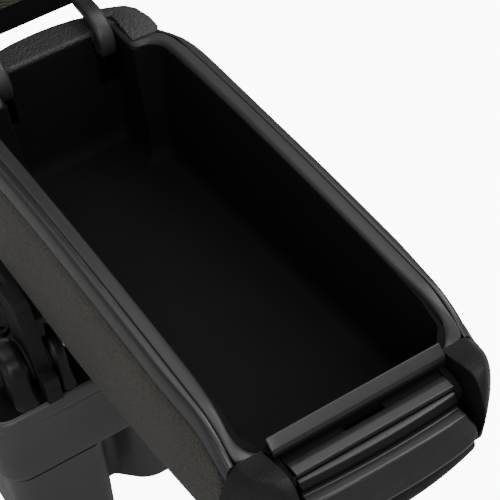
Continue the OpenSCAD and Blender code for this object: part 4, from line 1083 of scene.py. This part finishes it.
def saddle_cheek(x0, x1, side, r):
    """One cheek of the saddle from x0 to x1, its edges rounded over r."""
    xs, draws = end_rounding((x1 - x0) / 2, r, 5, steps=6)
    xs = side * ((x0 + x1) / 2 + xs)
    rings = np.stack([np.insert(inset(saddle_ring(), d), 0, x, axis=1) for x, d in zip(xs, draws)])
    rings[..., 2] = np.maximum(rings[..., 2], SEAT)
    return loft("saddle_cheek", plain(rings))


# Each saddle: two cheeks and the plate that screws down behind them
SEAT = CAP_TOP + 0.05
seat = rounded_box(PIVOT[0] + 15, PIVOT[0] + 52.2, SEAT, 116.0, [0.2, 0.2, 1.4, 0.2], 5)
for side, label in SIDES:
    plate = loft("saddle_plate", plain(carried(seat, 0, (side * 55.6, side * 88.9))))
    saddle = join(f"saddle_{label}_skin", saddle_cheek(55.4, 63.7, side, 3.0),
                  saddle_cheek(75.3, 89.1, side, 4.5), plate)
    stand_for(saddle, "pedestal", "saddle_black", f"saddle_{label}")
# Painted shade: the hardware under the box, the steel screws too, is dressed near black for the shade it sits
# in
for name in ("saddle_screws", "tilt_washers", "tilt_bracket", "axle_caps", "tilt_stops"):
    dress(NODES[name], "hidden_black")

# Stage, light and camera

FLOOR_HALF = 14.0            # metres
SEEN, SHED = 10.0, 0.1       # how brightly the floor shows to the camera, and what it sheds on the object
floor = add_mesh("floor", [(-FLOOR_HALF, -FLOOR_HALF, 0), (FLOOR_HALF, -FLOOR_HALF, 0),
                           (FLOOR_HALF, FLOOR_HALF, 0), (-FLOOR_HALF, FLOOR_HALF, 0)], [(0, 1, 2, 3)])
paper = bpy.data.materials.new("paper")
paper.use_nodes = True
tree = paper.node_tree
glow = worked(tree, "Math", "MULTIPLY_ADD", node(tree, "LightPath").outputs["Is Camera Ray"], SEEN, SHED)
feed(tree, tree.nodes["Principled BSDF"], {"Base Color": colour(0.32), "Roughness": 0.9,
                                           "Emission Color": colour(1.0), "Emission Strength": glow})
floor.data.materials.append(paper)


def area_light(name, at, aim, size, power):
    """A soft rectangular light at a point, turned to face another."""
    data = bpy.data.lights.new(name, "AREA")
    data.shape = "RECTANGLE"
    data.size, data.size_y = size
    data.energy = power
    obj = linked(name, data)
    obj.location = at
    obj.rotation_euler = (Vector(aim) - Vector(at)).to_track_quat("-Z", "Y").to_euler()


for name, at, aim, size, power in (
        ("light_key", (1.1, -0.4, 1.7), (0.0, -0.1, 0.2), (1.2, 1.2), 32.0),
        ("light_fill", (-0.9, -1.9, 0.9), (0.0, -0.25, 0.15), (1.2, 0.9), 8.0),
        ("light_front", (-0.15, -1.5, 1.45), (0.0, -0.2, 0.2), (0.9, 0.3), 14.0),
        ("light_left", (-1.7, -0.6, 0.45), (0.0, -0.1, 0.25), (0.6, 0.6), 4.0),
        ("light_top", (0.0, 0.5, 2.2), (0.0, -0.1, 0.2), (2.0, 2.0), 32.0)):
    area_light(name, at, aim, size, power)

world = bpy.data.worlds.new("studio")
world.use_nodes = True
feed(world.node_tree, world.node_tree.nodes["Background"], {"Color": colour(1.0), "Strength": 0.5})
bpy.context.scene.world = world


def photo_camera(at, azimuth, elevation, roll, focal_px):
    """The camera fitted to the photograph, which is 500 pixels wide: its place in millimetres, its three
    angles in degrees and its focal length in pixels."""
    az, el, ro = (math.radians(a) for a in (azimuth, elevation, roll))
    back = Vector((math.sin(az) * math.cos(el), -math.cos(az) * math.cos(el), math.sin(el)))
    right0 = Vector((math.cos(az), math.sin(az), 0))
    up0 = back.cross(right0)
    right = math.cos(ro) * right0 + math.sin(ro) * up0
    up = -math.sin(ro) * right0 + math.cos(ro) * up0
    data = bpy.data.cameras.new("photo_camera")
    data.sensor_width = 36.0
    data.lens = 36.0 * focal_px / 500.0
    data.clip_start, data.clip_end = 0.05, 30.0
    obj = linked("photo_camera", data)
    turn = Matrix((right, up, back)).transposed()
    obj.matrix_world = Matrix.Translation(Vector(at) / 1000.0) @ turn.to_4x4()
    bpy.context.scene.camera = obj


photo_camera((-207.0, -562.9, 714.2), azimuth=-26.60, elevation=44.98, roll=-7.50, focal_px=1599.0)
